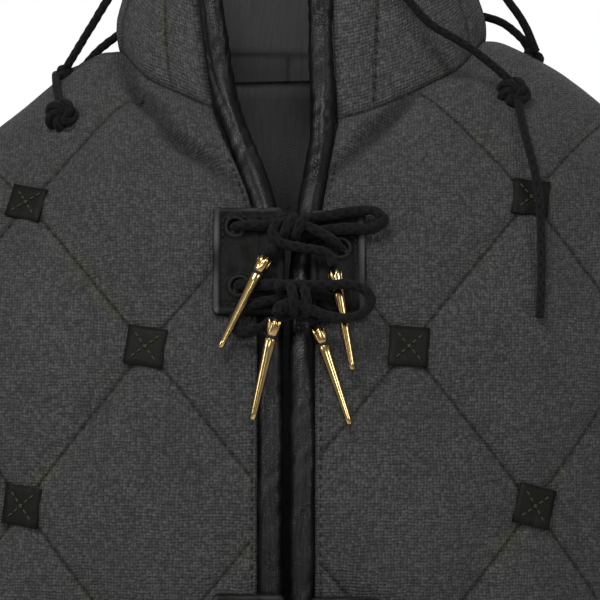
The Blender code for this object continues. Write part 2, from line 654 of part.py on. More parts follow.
def front_binding(name, hand, finish):
    """The rolled leather over one front edge, from the hem to the collar's top."""
    z = np.array([*np.linspace(HEM, -130.0, 18), -90.0, -67.0, -53.0, -40.0])
    x = front_edge(z, hand)
    q, t = cut_place(x, z)

    def place(a, b):
        return body(a, b, FRONT)

    spots, out = place(q, t), normals(place, q, t)
    neck = neck_seam(np.array([math.asin((front_edge(-24.0, hand) - NECK_X) / NECK_RADIUS)]))
    top_x = front_edge(COLLAR_FRONT_TOP, hand)
    _, wide, middle, deep, back = COLLAR_ROWS[1]
    angle = math.asin((top_x - middle) / wide)
    head = np.array([top_x, back - deep * math.cos(angle), COLLAR_FRONT_TOP + 11.0])
    shares = np.array([0.25, 0.6, 1.0])[:, None]
    spots = np.concatenate([spots, neck, neck + (head - neck) * shares])
    seam_out = unit(out[-1:] + np.array([[0.0, -1.0, 0.0]]))
    stand_out = unit(np.array([[math.sin(angle), -math.cos(angle), 0.2]]))
    out = np.concatenate([out, seam_out, np.repeat(stand_out, 3, axis=0)])
    run = unit(np.gradient(spots, axis=0))
    wide_way = unit(np.cross(run, out))
    out = unit(np.cross(wide_way, run))
    return swept(name, spots - out * BINDING_SINK, wide_way, out, finish,
                 half=(BINDING_HALF_WIDTH, BINDING_HALF_DEPTH))


def collar_binding(name, finish):
    """The rolled leather over the collar's top."""
    place = collar_surface()
    turns = np.linspace(0.012, 0.996, 22)
    spots = place(turns, np.ones(22))
    run = unit(np.gradient(spots, axis=0))
    up = np.repeat([[0.0, 0.0, 1.0]], 22, axis=0)
    out = unit(np.cross(run, up))
    up = unit(np.cross(out, run))
    spots = spots - out * BINDING_SINK + up * (BINDING_HALF_DEPTH + SEAM_GAP + 0.4)
    return swept(name, spots, out, up, finish, half=(BINDING_HALF_WIDTH, BINDING_HALF_DEPTH))


def rounded(x0, x1, z0, z1, corner=3.0):
    """A rectangle with cut corners, with a point near every 8 mm."""
    corners = [(x0 + corner, z0), (x1 - corner, z0), (x1, z0 + corner), (x1, z1 - corner),
               (x1 - corner, z1), (x0 + corner, z1), (x0, z1 - corner), (x0, z0 + corner)]
    points = []
    for a, b in zip(corners, corners[1:] + corners[:1]):
        points += [tuple(p) for p in evenly([a, b], 11.0)[:-1]]
    return np.array(points)


def leather(name, outline, holes, lift, thickness, finish, drop=0.0, grid=9.0):
    """A flat leather piece that follows the front, its outline given as seen from the front."""
    low, high = outline.min(0), outline.max(0)
    loose = np.array([(x, z) for x in np.arange(low[0] + grid, high[0], grid)
                      for z in np.arange(low[1] + grid, high[1], grid)])
    if len(loose):
        keep = edge_distance(loose, outline) > 3.0
        for hole in holes:
            keep &= edge_distance(loose, hole) < -3.0
        loose = loose[keep]
    flat, faces = triangles_of(outline, loose=loose, holes=holes)
    outer = front_point(flat[:, 0], flat[:, 1] - drop, np.full(len(flat), lift + thickness))
    inner = front_point(flat[:, 0], flat[:, 1] - drop, np.full(len(flat), lift))
    return wall_mesh(name, outer, inner, faces, finish)


def smooth_route(points, parts=2):
    """A route's points on a smooth curve through them."""
    p = np.asarray(points, float)
    p = np.concatenate([[2 * p[0] - p[1]], p, [2 * p[-1] - p[-2]]])
    found = []
    for k in range(1, len(p) - 2):
        for s in np.arange(parts) / parts:
            found.append(0.5 * (2 * p[k] + (p[k + 1] - p[k - 1]) * s
                                + (2 * p[k - 1] - 5 * p[k] + 4 * p[k + 1] - p[k + 2]) * s**2
                                + (3 * p[k] - p[k - 1] - 3 * p[k + 1] + p[k + 2]) * s**3))
    return np.array(found + [p[-2]])


def cord_tube(name, points, radius, finish):
    """A cord as a curve with filled ends."""
    curve = bpy.data.curves.new(name, "CURVE")
    curve.dimensions = "3D"
    curve.bevel_depth = radius * MM
    curve.bevel_resolution = 2
    curve.use_fill_caps = True
    curve.resolution_u = 1
    curve.render_resolution_u = 0
    spline = curve.splines.new("POLY")
    spline.points.add(len(points) - 1)
    for spot, at in zip(spline.points, points):
        spot.co = (*(at * MM), 1.0)
    curve.materials.append(finish)
    made = bpy.data.objects.new(name, curve)
    bpy.data.collections["gambeson"].objects.link(made)
    return made


def lace_route(key, pair):
    """One half of a lace, from its eyelet to its aglet."""
    rows = np.array(LACES[key])
    return front_point(rows[:, 0], rows[:, 1] - PAIR_PITCH * pair, rows[:, 2])


def aglet(name, key, pair, finish):
    """A turned brass aglet on the end of a lace."""
    route = lace_route(key, pair)
    x, z, off = AGLET_TIPS[key]
    tip = front_point(np.array([x]), np.array([z - PAIR_PITCH * pair]), np.array([off]))[0]
    way = unit(tip - route[-1])
    start = route[-1] + way * (SEAM_GAP + 0.9)
    across = unit(np.cross(way, np.array([0.0, 1.0, 0.0])))
    other = np.cross(way, across)
    mesh = bmesh.new()
    rings = []
    for far, radius in AGLET_PROFILE:
        rings.append([
            mesh.verts.new(Vector(start + way * far + radius * (
                across * math.cos(2 * math.pi * k / AGLET_SIDES) + other * math.sin(2 * math.pi * k / AGLET_SIDES))) * MM)
            for k in range(AGLET_SIDES)])
    for low, high in zip(rings, rings[1:]):
        for k in range(AGLET_SIDES):
            n = (k + 1) % AGLET_SIDES
            mesh.faces.new((low[k], low[n], high[n], high[k]))
    mesh.faces.new(rings[0][::-1])
    mesh.faces.new(rings[-1])
    return finish_mesh(name, mesh, finish)


def knot(name, at, radius, finish):
    """A small round knot."""
    mesh = bmesh.new()
    bmesh.ops.create_icosphere(mesh, subdivisions=2, radius=radius * MM)
    bmesh.ops.translate(mesh, verts=mesh.verts, vec=Vector(at) * MM)
    return finish_mesh(name, mesh, finish)


def square(name, column, row, finish):
    """A leather square on a crossing of the quilting."""
    q = FRONT_QUILT[0] + column * QUILT_HALF_WIDTH
    t = FRONT_QUILT[1] + row * QUILT_HALF_HEIGHT
    half = SQUARE_SIDE / 2
    turn = np.array([[math.cos(SQUARE_TILT), -math.sin(SQUARE_TILT)], [math.sin(SQUARE_TILT), math.cos(SQUARE_TILT)]])
    grid = np.array([(i, j) for i in (-half, 0.0, half) for j in (-half, 0.0, half)]) @ turn.T + (q, t)
    faces = []
    for i in range(2):
        for j in range(2):
            p = i * 3 + j
            faces += [(p, p + 3, p + 4), (p, p + 4, p + 1)]

    def place(a, b):
        return body(a, b, FRONT)

    base, out = place(grid[:, 0], grid[:, 1]), normals(place, grid[:, 0], grid[:, 1])
    return wall_mesh(name, base + out * (SQUARE_LIFT + SQUARE_THICKNESS), base + out * SQUARE_LIFT, np.array(faces), finish)


def build():
    """Makes the whole coat."""
    for old in list(bpy.data.objects):
        bpy.data.objects.remove(old)
    bpy.context.scene.collection.children.link(bpy.data.collections.new("gambeson"))
    canvas = material("black_canvas", (0.045, 0.045, 0.044), 0.85)
    black = material("black_leather", (0.012, 0.012, 0.012), 0.35)
    patch = material("patch_leather", (0.018, 0.017, 0.016), 0.5)
    brass = material("brass", (0.75, 0.55, 0.22), 0.25, 1.0)
    braid = material("black_cord", (0.015, 0.015, 0.015), 0.8)

    quilted("front_left", front_outline(0), FRONT_QUILT, FRONT, canvas)
    quilted("front_right", front_outline(1), FRONT_QUILT, FRONT, canvas)
    quilted("back", back_outline(), BACK_QUILT, BACK, canvas)
    sleeve("sleeve_left", 0, canvas)
    sleeve("sleeve_right", 1, canvas)
    collar("collar", canvas)
    front_binding("binding_left", 0, black)
    front_binding("binding_right", 1, black)
    collar_binding("binding_collar", black)
    for pair, level in enumerate(PAIRS):
        for side, x0, x1, z0, z1, eyelets in PATCHES:
            holes = [np.array([(x + EYELET_RADIUS * math.cos(a), z + EYELET_RADIUS * math.sin(a))
                               for a in np.arange(8) * math.pi / 4]) for x, z in eyelets]
            leather(f"patch_{level}_{side}", rounded(x0, x1, z0, z1), holes, PATCH_LIFT, PATCH_THICKNESS,
                    patch, drop=PAIR_PITCH * pair)
        for key in LACES:
            cord_tube(f"lace_{level}_{key}", smooth_route(lace_route(key, pair), 1), LACE_RADIUS, braid)
            aglet(f"aglet_{level}_{key}", key, pair, brass)
    for name, (column, row) in SQUARES.items():
        square(name, column, row, patch)
    for name, points in CORDS.items():
        cord_tube(name, smooth_route(np.array(points), 2), CORD_RADIUS, braid)
    tail = np.array(TAIL)
    cord_tube("cord_right_tail", smooth_route(front_point(*tail.T), 2), CORD_RADIUS, braid)
    for name, (x, y, z, radius) in KNOTS.items():
        knot(name, (x, y, z), radius, braid)


build()
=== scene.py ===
"""Dresses the gambeson: canvas, leather, laces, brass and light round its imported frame.

Sizes are millimetres until a mesh is made. Each cloth panel is drawn in its
own flat cut, (q, t), as in the part's source: q runs round the body from the
middle of the front or back, and t runs up it.
"""
from __future__ import annotations

import logging
import math
from collections.abc import Callable, Iterable, Sequence
from dataclasses import dataclass, field
from enum import Enum

import bmesh
import bpy
import numpy as np
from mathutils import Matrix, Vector
from mathutils.geometry import delaunay_2d_cdt

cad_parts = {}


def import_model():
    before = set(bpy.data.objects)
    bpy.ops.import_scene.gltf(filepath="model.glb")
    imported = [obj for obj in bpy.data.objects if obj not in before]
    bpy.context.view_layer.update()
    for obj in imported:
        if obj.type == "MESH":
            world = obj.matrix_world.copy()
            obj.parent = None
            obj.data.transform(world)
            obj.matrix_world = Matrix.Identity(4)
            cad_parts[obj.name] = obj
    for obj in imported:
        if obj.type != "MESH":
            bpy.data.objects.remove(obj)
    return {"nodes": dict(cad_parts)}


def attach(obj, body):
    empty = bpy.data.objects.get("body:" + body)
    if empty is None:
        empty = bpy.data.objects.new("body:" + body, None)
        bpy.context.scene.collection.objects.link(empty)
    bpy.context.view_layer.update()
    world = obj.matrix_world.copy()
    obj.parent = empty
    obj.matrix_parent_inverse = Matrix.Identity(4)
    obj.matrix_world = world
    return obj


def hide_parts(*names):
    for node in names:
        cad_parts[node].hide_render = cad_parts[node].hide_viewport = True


LOG = logging.getLogger("gambeson")
MM = 0.001
Points = np.ndarray
Place = Callable[[Points, Points], Points]
Piece = bpy.types.Object
Material = bpy.types.Material
Socket = bpy.types.NodeSocket
Mesh = bmesh.types.BMesh
Segments = list[tuple[Points, Points]]
Colour = tuple[float, float, float]


class Side(Enum):
    """The two halves of the body's form."""

    FRONT = -1
    BACK = 1


class Hand(Enum):
    """Left and right as seen from the front of the coat."""

    LEFT = -1
    RIGHT = 1


# Form of the coat


def smooth_rows(rows: Sequence[Sequence[float]], at: Points) -> Points:
    """Reads a table at the given values of its first column, on a smooth curve.

    Args:
        rows: The table, its first column the key.
        at: Values of the key.

    Returns:
        The other columns at those values.
    """
    table = np.array(sorted(rows), float)
    keys, values = table[:, 0], table[:, 1:]
    slopes = np.gradient(values, keys, axis=0)
    slopes[-1] = 0.0
    at = np.clip(np.asarray(at, float), keys[0], keys[-1])
    i = np.clip(np.searchsorted(keys, at) - 1, 0, len(keys) - 2)
    span = (keys[i + 1] - keys[i])[..., None]
    s = (at - keys[i])[..., None] / span
    return (
        (2 * s**3 - 3 * s**2 + 1) * values[i] + (s**3 - 2 * s**2 + s) * span * slopes[i]
        + (3 * s**2 - 2 * s**3) * values[i + 1] + (s**3 - s**2) * span * slopes[i + 1]
    )


def unit(v: Points) -> Points:
    """Vectors made one long."""
    return v / np.maximum(np.linalg.norm(v, axis=-1, keepdims=True), 1e-9)


@dataclass(frozen=True)
class CoatForm:
    """The coat's worn form, with the same driving sizes as the part's source."""

    seam_gap: float = 0.3
    wall: float = 5.0
    padding: float = 3.6
    quilt_half: tuple[float, float] = (58.0, 71.0)
    front_quilt: tuple[float, float] = (-4.5, -198.0)
    back_quilt: tuple[float, float] = (0.0, -198.0)
    chest: float = -215.0
    hem: float = -850.0
    body_rows: tuple = (  # height, half_width, front_depth, back_depth
        (-215.0, 200.0, 140.0, 125.0),
        (-320.0, 189.0, 134.0, 118.0),
        (-420.0, 180.0, 128.0, 113.0),
        (-520.0, 189.0, 134.0, 122.0),
        (-620.0, 205.0, 146.0, 136.0),
        (-740.0, 226.0, 160.0, 152.0),
        (-850.0, 246.0, 174.0, 166.0),
    )
    ridge: tuple[float, float, float] = (13.6, 0.027, 0.58)
    ridge_reach: float = 75.0
    ridge_softness: float = 30.0
    front_fullness: float = 1.0
    back_fullness: float = 0.85
    shoulder_fullness: float = 0.42
    neck: tuple[float, float, float] = (8.0, 80.5, 30.0)
    collar_top: tuple[float, float, float, float] = (71.0, 5.0, 55.0, -14.0)
    collar_side_top: float = 70.0
    collar_front_top: float = 46.0
    seam_level: float = -24.0
    binding_half: float = 5.5
    binding_sink: float = 2.5
    front_edges: tuple = (  # height, middle of the left binding, middle of the right one
        (60.0, -36.5, 13.0),
        (46.0, -35.0, 13.5),
        (25.0, -33.2, 15.2),
        (0.0, -29.7, 16.9),
        (-26.0, -23.1, 17.2),
        (-47.0, -15.8, 13.2),
        (-67.0, -9.2, 9.5),
        (-90.0, -7.3, 6.6),
        (-450.0, -7.3, 6.6),
        (-850.0, -17.0, 16.0),
    )
    arm_tip: float = 223.0
    shoulder_rise: float = 7.6
    collar_flare: float = 2.8
    front_lean: float = 5.2
    arm_bite: tuple[float, float] = (58.0, 44.0)

    def depth(self, side: Side) -> float:
        """How deep the chest ring is on one side."""
        return self.body_rows[0][2 if side is Side.FRONT else 3]

    def arc(self, side: Side) -> tuple[Points, Points]:
        """Distance round the chest ring, and the angle there, a little past the side seam."""
        angle = np.linspace(0.0, math.radians(100.0), 401)
        speed = np.hypot(self.body_rows[0][1] * np.cos(angle), self.depth(side) * np.sin(angle))
        arc = np.concatenate([[0.0], np.cumsum((speed[1:] + speed[:-1]) / 2 * np.diff(angle))])
        return np.concatenate([-arc[:0:-1], arc]), np.concatenate([-angle[:0:-1], angle])

    def side_seam(self, side: Side) -> float:
        """The q of the side seam."""
        arc, angle = self.arc(side)
        return float(np.interp(math.pi / 2, angle, arc))

    def fullness(self, side: Side, angle: Points) -> Points:
        """How full the shoulder's section is at an angle round the chest."""
        full = self.front_fullness if side is Side.FRONT else self.back_fullness
        return full - self.shoulder_fullness * np.sin(angle) ** 2

    def ridge_height(self, x: Points) -> Points:
        """Height of the shoulder line over x."""
        top, roll, slope = self.ridge
        out = np.abs(x - self.neck[0]) - self.ridge_reach
        return top + roll * (x - self.neck[0]) - slope * (out + np.hypot(out, self.ridge_softness)) / 2

    @staticmethod
    def climb(angle: Points, rise: Points, across: Points) -> Points:
        """Length of cloth from the armpit's height to an angle of the upper curve."""
        def speed(a: Points) -> Points:
            """How fast the curve runs at an angle."""
            return np.hypot(rise * np.cos(a), across * np.sin(a))

        return angle / 6 * (speed(np.zeros_like(angle)) + 4 * speed(angle / 2) + speed(angle))

    def body(self, q: Points, t: Points, side: Side) -> Points:
        """The stitched outer surface at (q, t) of the front's or back's cut."""
        q, t = np.broadcast_arrays(np.asarray(q, float), np.asarray(t, float))
        arc, angles = self.arc(side)
        angle = np.interp(q, arc, angles)
        half, front, back = np.moveaxis(smooth_rows(self.body_rows, np.minimum(t, self.chest)), -1, 0)
        x = half * np.sin(angle)
        depth = (front if side is Side.FRONT else back) * np.cos(angle)
        across = np.maximum(depth, 1.0)
        rise = self.ridge_height(x) - self.chest
        up = np.maximum(t - self.chest, 0.0)
        bend = up / rise
        for _ in range(24):
            slope = np.hypot(rise * np.cos(bend), across * np.sin(bend))
            bend = bend - (self.climb(bend, rise, across) - up) / np.maximum(slope, 20.0)
        turned = np.cos(bend)
        y = side.value * depth * np.sign(turned) * np.abs(turned) ** self.fullness(side, angle)
        z = np.where(t < self.chest, t, self.chest + rise * np.sin(bend))
        return np.stack([x, y, z], -1)

    def settle(self, points: Points) -> Points:
        """Moves points as the worn cloth has settled, by the neck and at the left front edge.

        Args:
            points: Places on the drafted form.

        Returns:
            The same places on the worn form.
        """
        x, y, z = np.moveaxis(np.asarray(points, float), -1, 0)
        out = x - self.neck[0]
        far = np.abs(out)
        full = ease(far, 50.0, 68.0) * (1 - ease(far, 108.0, 168.0))
        lift = self.shoulder_rise * full * ease(z, -48.0, -8.0) * ease(y, -50.0, -14.0)
        foot = ease(far, 50.0, 68.0) * (1 - ease(far, 84.0, 116.0))
        foot = foot * ease(z, -22.0, 0.0) * (1 - ease(z, 12.0, 34.0))
        lean = ease(-x, 12.0, 24.0) * (1 - 0.5 * ease(-x, 35.0, 70.0)) * (1 - ease(-x, 85.0, 125.0))
        lean = lean * ease(z, -66.0, -2.0) * (1 - ease(y, -15.0, 25.0))
        shift = self.collar_flare * foot * np.sign(out) - self.front_lean * lean
        return np.stack([x + shift, y, z + lift], -1)

    def placer(self, side: Side) -> Place:
        """The body's surface on one side, as a function of q and t."""
        return lambda q, t: self.settle(self.body(q, t, side))

    def cut_place(self, x: Points, z: Points, side: Side = Side.FRONT) -> tuple[Points, Points]:
        """The (q, t) of the point of the front or back that is seen at x, z."""
        x, z = np.broadcast_arrays(np.asarray(x, float), np.asarray(z, float))
        half = smooth_rows(self.body_rows, np.minimum(z, self.chest))
        arc, angles = self.arc(side)
        angle = np.arcsin(np.clip(x / half[..., 0], -1, 1))
        q = np.interp(angle, angles, arc)
        rise = self.ridge_height(x) - self.chest
        bend = np.arcsin(np.clip((z - self.chest) / rise, 0.0, 1.0))
        across = half[..., 1 if side is Side.FRONT else 2] * np.cos(angle)
        return q, np.where(z < self.chest, z, self.chest + self.climb(bend, rise, across))

    def ridge_place(self, q: Points, side: Side) -> Points:
        """The t of the shoulder seam at q."""
        arc, angles = self.arc(side)
        angle = np.interp(q, arc, angles)
        rise = self.ridge_height(self.body_rows[0][1] * np.sin(angle)) - self.chest
        across = self.depth(side) * np.cos(angle)
        stop = (self.seam_gap / 2 / across) ** (1 / self.fullness(side, angle))
        return self.chest + self.climb(math.pi / 2 - stop, rise, across)

    def front_edge(self, z: Points, hand: Hand) -> Points:
        """The x of the middle of one front binding at height z, its corners softened."""
        rows = np.array(self.front_edges)[::-1]
        column = 1 if hand is Hand.LEFT else 2
        reach = np.linspace(-9.0, 9.0, 9)
        z = np.asarray(z, float)[..., None] + reach
        return np.interp(z, rows[:, 0], rows[:, column]).mean(-1)

    def seam_edge(self, hand: Hand) -> float:
        """The x of the middle of one front binding where the neck seam meets it."""
        return float(self.front_edge(np.array(self.seam_level), hand))

    def top_edge(self, hand: Hand) -> float:
        """The x of the middle of one front binding at the collar's top."""
        return float(self.front_edge(np.array(self.collar_front_top), hand))

    def neck_seam(self, angle: Points) -> Points:
        """Points of the neck seam; the angle is 0 at the front and grows to the wearer's left."""
        angle = np.asarray(angle, float)
        middle, radius, dip = self.neck
        x = middle + radius * np.sin(angle)
        z = 3.0 + self.ridge[1] * (x - middle) - dip * np.maximum(np.cos(angle), 0.0) ** 2.5
        spots = np.empty(angle.shape + (3,))
        for side in Side:
            q, t = self.cut_place(x, z, side)
            here = (np.cos(angle) >= 0) == (side is Side.FRONT)
            spots = np.where(here[..., None], self.body(q, t, side), spots)
        return spots

    def seam_angle(self, hand: Hand) -> float:
        """Angle at which the outer side of a binding meets the neck seam."""
        x = self.seam_edge(hand) + hand.value * (self.binding_half + 3 * self.seam_gap)
        return math.asin((x - self.neck[0]) / self.neck[1])

    def armhole(self, side: Side, count: int, hand: Hand) -> Points:
        """The armhole's (q, t), from the top of the side seam to the shoulder's tip."""
        share = np.linspace(0, 1, count + 1)
        reach = self.side_seam(side)
        tip = self.arm_tip * reach / self.side_seam(Side.FRONT)
        bite = self.arm_bite[0 if side is Side.FRONT else 1]
        q = reach - (reach - tip) * np.sin(share * math.pi / 2) - bite * np.sin(share * math.pi) ** 2
        q = q * hand.value
        top = self.ridge_place(q, side)
        return np.stack([q, self.chest + (top - self.chest) * (1 - np.cos(share * math.pi / 2))], 1)

    def side_edge(self, side: Side, hand: Hand) -> Points:
        """The side seam's (q, t), from the hem up to the armhole."""
        t = np.linspace(self.hem, self.chest, 60)
        q = np.full_like(t, self.side_seam(side) - self.seam_gap / 2) * hand.value
        return np.stack([q, t], 1)

    def shoulder_edge(self, side: Side, q_from: float, q_to: float) -> Points:
        """The shoulder seam's (q, t) between two places on it."""
        q = np.linspace(q_from, q_to, 24)
        return np.stack([q, self.ridge_place(q, side)], 1)

    def front_outline(self, hand: Hand) -> Points:
        """The cut of one front."""
        z = np.concatenate([np.linspace(-34.0, -130.0, 40), np.linspace(-134.0, self.hem, 160)])
        x = self.front_edge(z, hand) + hand.value * (self.binding_half + self.seam_gap)
        edge = np.stack(self.cut_place(x, z), 1)
        side = self.side_edge(Side.FRONT, hand)[:-1]
        arm = self.armhole(Side.FRONT, 48, hand)[:-1]
        hem = np.stack([np.linspace(edge[-1, 0], side[0, 0], 50)[1:-1], np.full(48, self.hem)], 1)
        angles = np.linspace(self.seam_angle(hand), hand.value * math.radians(88.0), 36)
        neck = self.neck_seam(angles)
        neck_cut = np.stack(self.cut_place(neck[:, 0], neck[:, 2]), 1)
        ridge = self.shoulder_edge(Side.FRONT, hand.value * self.arm_tip, neck_cut[-1, 0])
        return np.concatenate([edge, hem, side, arm, ridge[:-1], neck_cut[::-1]])

    def back_outline(self) -> Points:
        """The cut of the back."""
        tip = self.arm_tip * self.side_seam(Side.BACK) / self.side_seam(Side.FRONT)
        neck = self.neck_seam(np.radians(np.linspace(92.0, 268.0, 70)))
        neck_cut = np.stack(self.cut_place(neck[:, 0], neck[:, 2], Side.BACK), 1)
        seam = self.side_seam(Side.BACK)
        hem = np.stack([np.linspace(-seam, seam, 120)[1:-1], np.full(118, self.hem)], 1)
        return np.concatenate([
            self.side_edge(Side.BACK, Hand.RIGHT)[:-1],
            self.armhole(Side.BACK, 48, Hand.RIGHT)[:-1],
            self.shoulder_edge(Side.BACK, tip, neck_cut[0, 0])[:-1],
            neck_cut,
            self.shoulder_edge(Side.BACK, neck_cut[-1, 0], -tip)[1:],
            self.armhole(Side.BACK, 48, Hand.LEFT)[:-1][::-1],
            self.side_edge(Side.BACK, Hand.LEFT)[:-1][::-1],
            hem,
        ])

    def front_point(self, x: Points, z: Points, off: Points) -> Points:
        """Points off the cloth of the front, seen at x, z."""
        q, t = self.cut_place(x, z)
        place = self.placer(Side.FRONT)
        return place(q, t) + normals(place, q, t) * np.asarray(off, float)[..., None]

    def front_spot(self, x: float, z: float, off: float) -> Points:
        """One point off the cloth of the front."""
        return self.front_point(np.array([x]), np.array([z]), np.array([off]))[0]


def ease(value: Points, low: float, high: float) -> Points:
    """Rises smoothly from 0 at low to 1 at high."""
    share = np.clip((np.asarray(value, float) - low) / (high - low), 0.0, 1.0)
    return share * share * (3 - 2 * share)


def normals(place: Place, a: Points, b: Points, step: float = 1.5) -> Points:
    """Unit normals of a surface given as a function of two coordinates."""
    across = place(a + step, b) - place(a - step, b)
    along = place(a, b + step) - place(a, b - step)
    return unit(np.cross(across, along))


# Lines, outlines and meshes


def points_at(points: Points, far: Points, at: Points) -> Points:
    """Points of a polyline at some distances along it, given the distances of its own points."""
    return np.stack([np.interp(at, far, points[:, k]) for k in range(points.shape[1])], -1)


def evenly(points: Points, step: float) -> Points:
    """Points on a polyline at equal steps, its ends kept."""
    points = np.asarray(points, float)
    length = distances(points)
    count = max(int(math.ceil(length[-1] / step)), 1)
    at = np.linspace(0, length[-1], count + 1)
    return points_at(points, length, at)


def distances(points: Points) -> Points:
    """Distance along a polyline to each of its points."""
    return np.concatenate([[0.0], np.cumsum(np.linalg.norm(np.diff(points, axis=0), axis=1))])


def segment_distance(points: Points, starts: Points, ends: Points) -> Points:
    """Distance from each point to the nearest of some segments."""
    far = np.full(len(points), np.inf)
    run = ends - starts
    long = np.maximum((run * run).sum(-1), 1e-12)
    for first in range(0, len(points), 3000):
        to = points[first:first + 3000, None] - starts
        share = np.clip((to * run).sum(-1) / long, 0, 1)
        far[first:first + 3000] = np.linalg.norm(to - share[..., None] * run, axis=-1).min(1)
    return far


def edge_distance(points: Points, outline: Points) -> Points:
    """Distance from each point to a closed outline, negative outside it."""
    a, b = outline, np.roll(outline, -1, axis=0)
    far = segment_distance(points, a, b)
    rise = np.where(b[:, 1] == a[:, 1], 1e-12, b[:, 1] - a[:, 1])
    inside = np.zeros(len(points), bool)
    for first in range(0, len(points), 3000):
        spots = points[first:first + 3000]
        crosses = (a[:, 1] > spots[:, None, 1]) != (b[:, 1] > spots[:, None, 1])
        at = a[:, 0] + (spots[:, None, 1] - a[:, 1]) / rise * (b[:, 0] - a[:, 0])
        inside[first:first + 3000] = (crosses & (spots[:, None, 0] < at)).sum(1) % 2 == 1
    return np.where(inside, far, -far)


def smooth_route(points: Points, parts: int) -> Points:
    """A route's points on a smooth curve through them."""
    p = np.asarray(points, float)
    p = np.concatenate([[2 * p[0] - p[1]], p, [2 * p[-1] - p[-2]]])
    found = []
    for k in range(1, len(p) - 2):
        for s in np.arange(parts) / parts:
            found.append(0.5 * (2 * p[k] + (p[k + 1] - p[k - 1]) * s
                                + (2 * p[k - 1] - 5 * p[k] + 4 * p[k + 1] - p[k + 2]) * s**2
                                + (3 * p[k] - p[k - 1] - 3 * p[k + 1] + p[k + 2]) * s**3))
    return np.array(found + [p[-2]])


def ripple(a: Points, b: Points, scale: float, seed: float = 0.0) -> Points:
    """A smooth uneven wave over two coordinates, from -1 to 1, that repeats nowhere near."""
    turns = np.array([0.3, 1.35, 2.2, 2.9, 4.1])
    made = np.zeros(np.broadcast(a, b).shape)
    for k, turn in enumerate(turns):
        pitch = scale * (0.7 + 0.23 * k)
        made += np.sin((a * math.cos(turn) + b * math.sin(turn)) * 2 * math.pi / pitch + seed * (k + 1.7) + k)
    return made / 2.6


def new_piece(name: str, vertices: Points, faces: Iterable[Sequence[int]], finishes: Sequence[Material],
              slots: Points | None = None) -> Piece:
    """Makes a smooth mesh object from vertices in millimetres, riding on the root body.

    Args:
        name: The piece's name.
        vertices: Points, in millimetres.
        faces: Corners of each face.
        finishes: Its materials.
        slots: The number of each face's material, where there are several.

    Returns:
        The object.
    """
    data = bpy.data.meshes.new(name)
    data.from_pydata((np.asarray(vertices) * MM).tolist(), [], [list(map(int, f)) for f in faces])
    for finish in finishes:
        data.materials.append(finish)
    if slots is not None:
        data.polygons.foreach_set("material_index", np.asarray(slots, np.int32))
    data.shade_smooth()
    data.update()
    return add_piece(name, data)


def add_piece(name: str, data: bpy.types.Mesh) -> Piece:
    """Links a mesh as a piece that rides on the root body."""
    made = bpy.data.objects.new(name, data)
    bpy.context.scene.collection.objects.link(made)
    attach(made, "root")
    LOG.info("%s: %d faces", name, len(data.polygons))
    return made


def piece_from(name: str, mesh: Mesh, finishes: Sequence[Material],
               smooth: bool = True) -> Piece:
    """Turns a bmesh in millimetres into a piece and frees it."""
    bmesh.ops.scale(mesh, vec=(MM, MM, MM), verts=mesh.verts)
    bmesh.ops.recalc_face_normals(mesh, faces=mesh.faces)
    for face in mesh.faces:
        face.smooth = smooth
    data = bpy.data.meshes.new(name)
    mesh.to_mesh(data)
    mesh.free()
    for finish in finishes:
        data.materials.append(finish)
    return add_piece(name, data)


def write_uv(made: Piece, uv: Points) -> None:
    """Gives a mesh a UV map from one place for each vertex."""
    data = made.data
    corner = np.empty(len(data.loops), np.int32)
    data.loops.foreach_get("vertex_index", corner)
    layer = data.uv_layers.new(name="cut")
    layer.data.foreach_set("uv", uv[corner].astype(np.float32).ravel())


def write_value(made: Piece, name: str, values: Points) -> None:
    """Gives a mesh one number for each vertex."""
    layer = made.data.attributes.new(name, "FLOAT", "POINT")
    layer.data.foreach_set("value", np.asarray(values, np.float32))


def grid_shell(name: str, outer: Points, inner: Points, finishes: Sequence[Material],
               tube: bool) -> Piece:
    """Closes a grid of outer points and its inner points into one wall.

    Args:
        name: The piece's name.
        outer: Outer points, rows by columns by 3.
        inner: Inner points, as many.
        finishes: The outer and inner materials.
        tube: Whether the rows close on themselves.

    Returns:
        The object, its vertices the outer points and then the inner ones.
    """
    rows, columns = outer.shape[:2]
    index = np.arange(rows * columns).reshape(rows, columns)
    wrap = np.concatenate([index, index[:1]]) if tube else index
    a, b, c, d = wrap[:-1, :-1], wrap[1:, :-1], wrap[1:, 1:], wrap[:-1, 1:]
    top = np.stack([a, b, c, d], -1).reshape(-1, 4)
    shift = rows * columns
    faces = [top, top[:, ::-1] + shift]
    rims = [(wrap[:, 0], True), (wrap[:, -1], False)]
    if not tube:
        rims += [(index[0], False), (index[-1], True)]
    for rim, turn in rims:
        low, high = (rim[1:], rim[:-1]) if turn else (rim[:-1], rim[1:])
        faces.append(np.stack([low, high, high + shift, low + shift], -1))
    slots = np.zeros(sum(map(len, faces)), np.int32)
    slots[len(top):2 * len(top)] = 1
    points = np.concatenate([outer.reshape(-1, 3), inner.reshape(-1, 3)])
    return new_piece(name, points, np.concatenate(faces), finishes, slots)


def triangulate(spots: Sequence[Sequence[float]], edges: Sequence[tuple[int, int]]) -> tuple[Points, Points]:
    """Points and triangles of a flat net that keeps the given edges."""
    made = delaunay_2d_cdt([Vector(p) for p in spots], edges, [], 0, 1e-4, False)
    return np.array([tuple(p) for p in made[0]]), np.array([tuple(f) for f in made[2]])


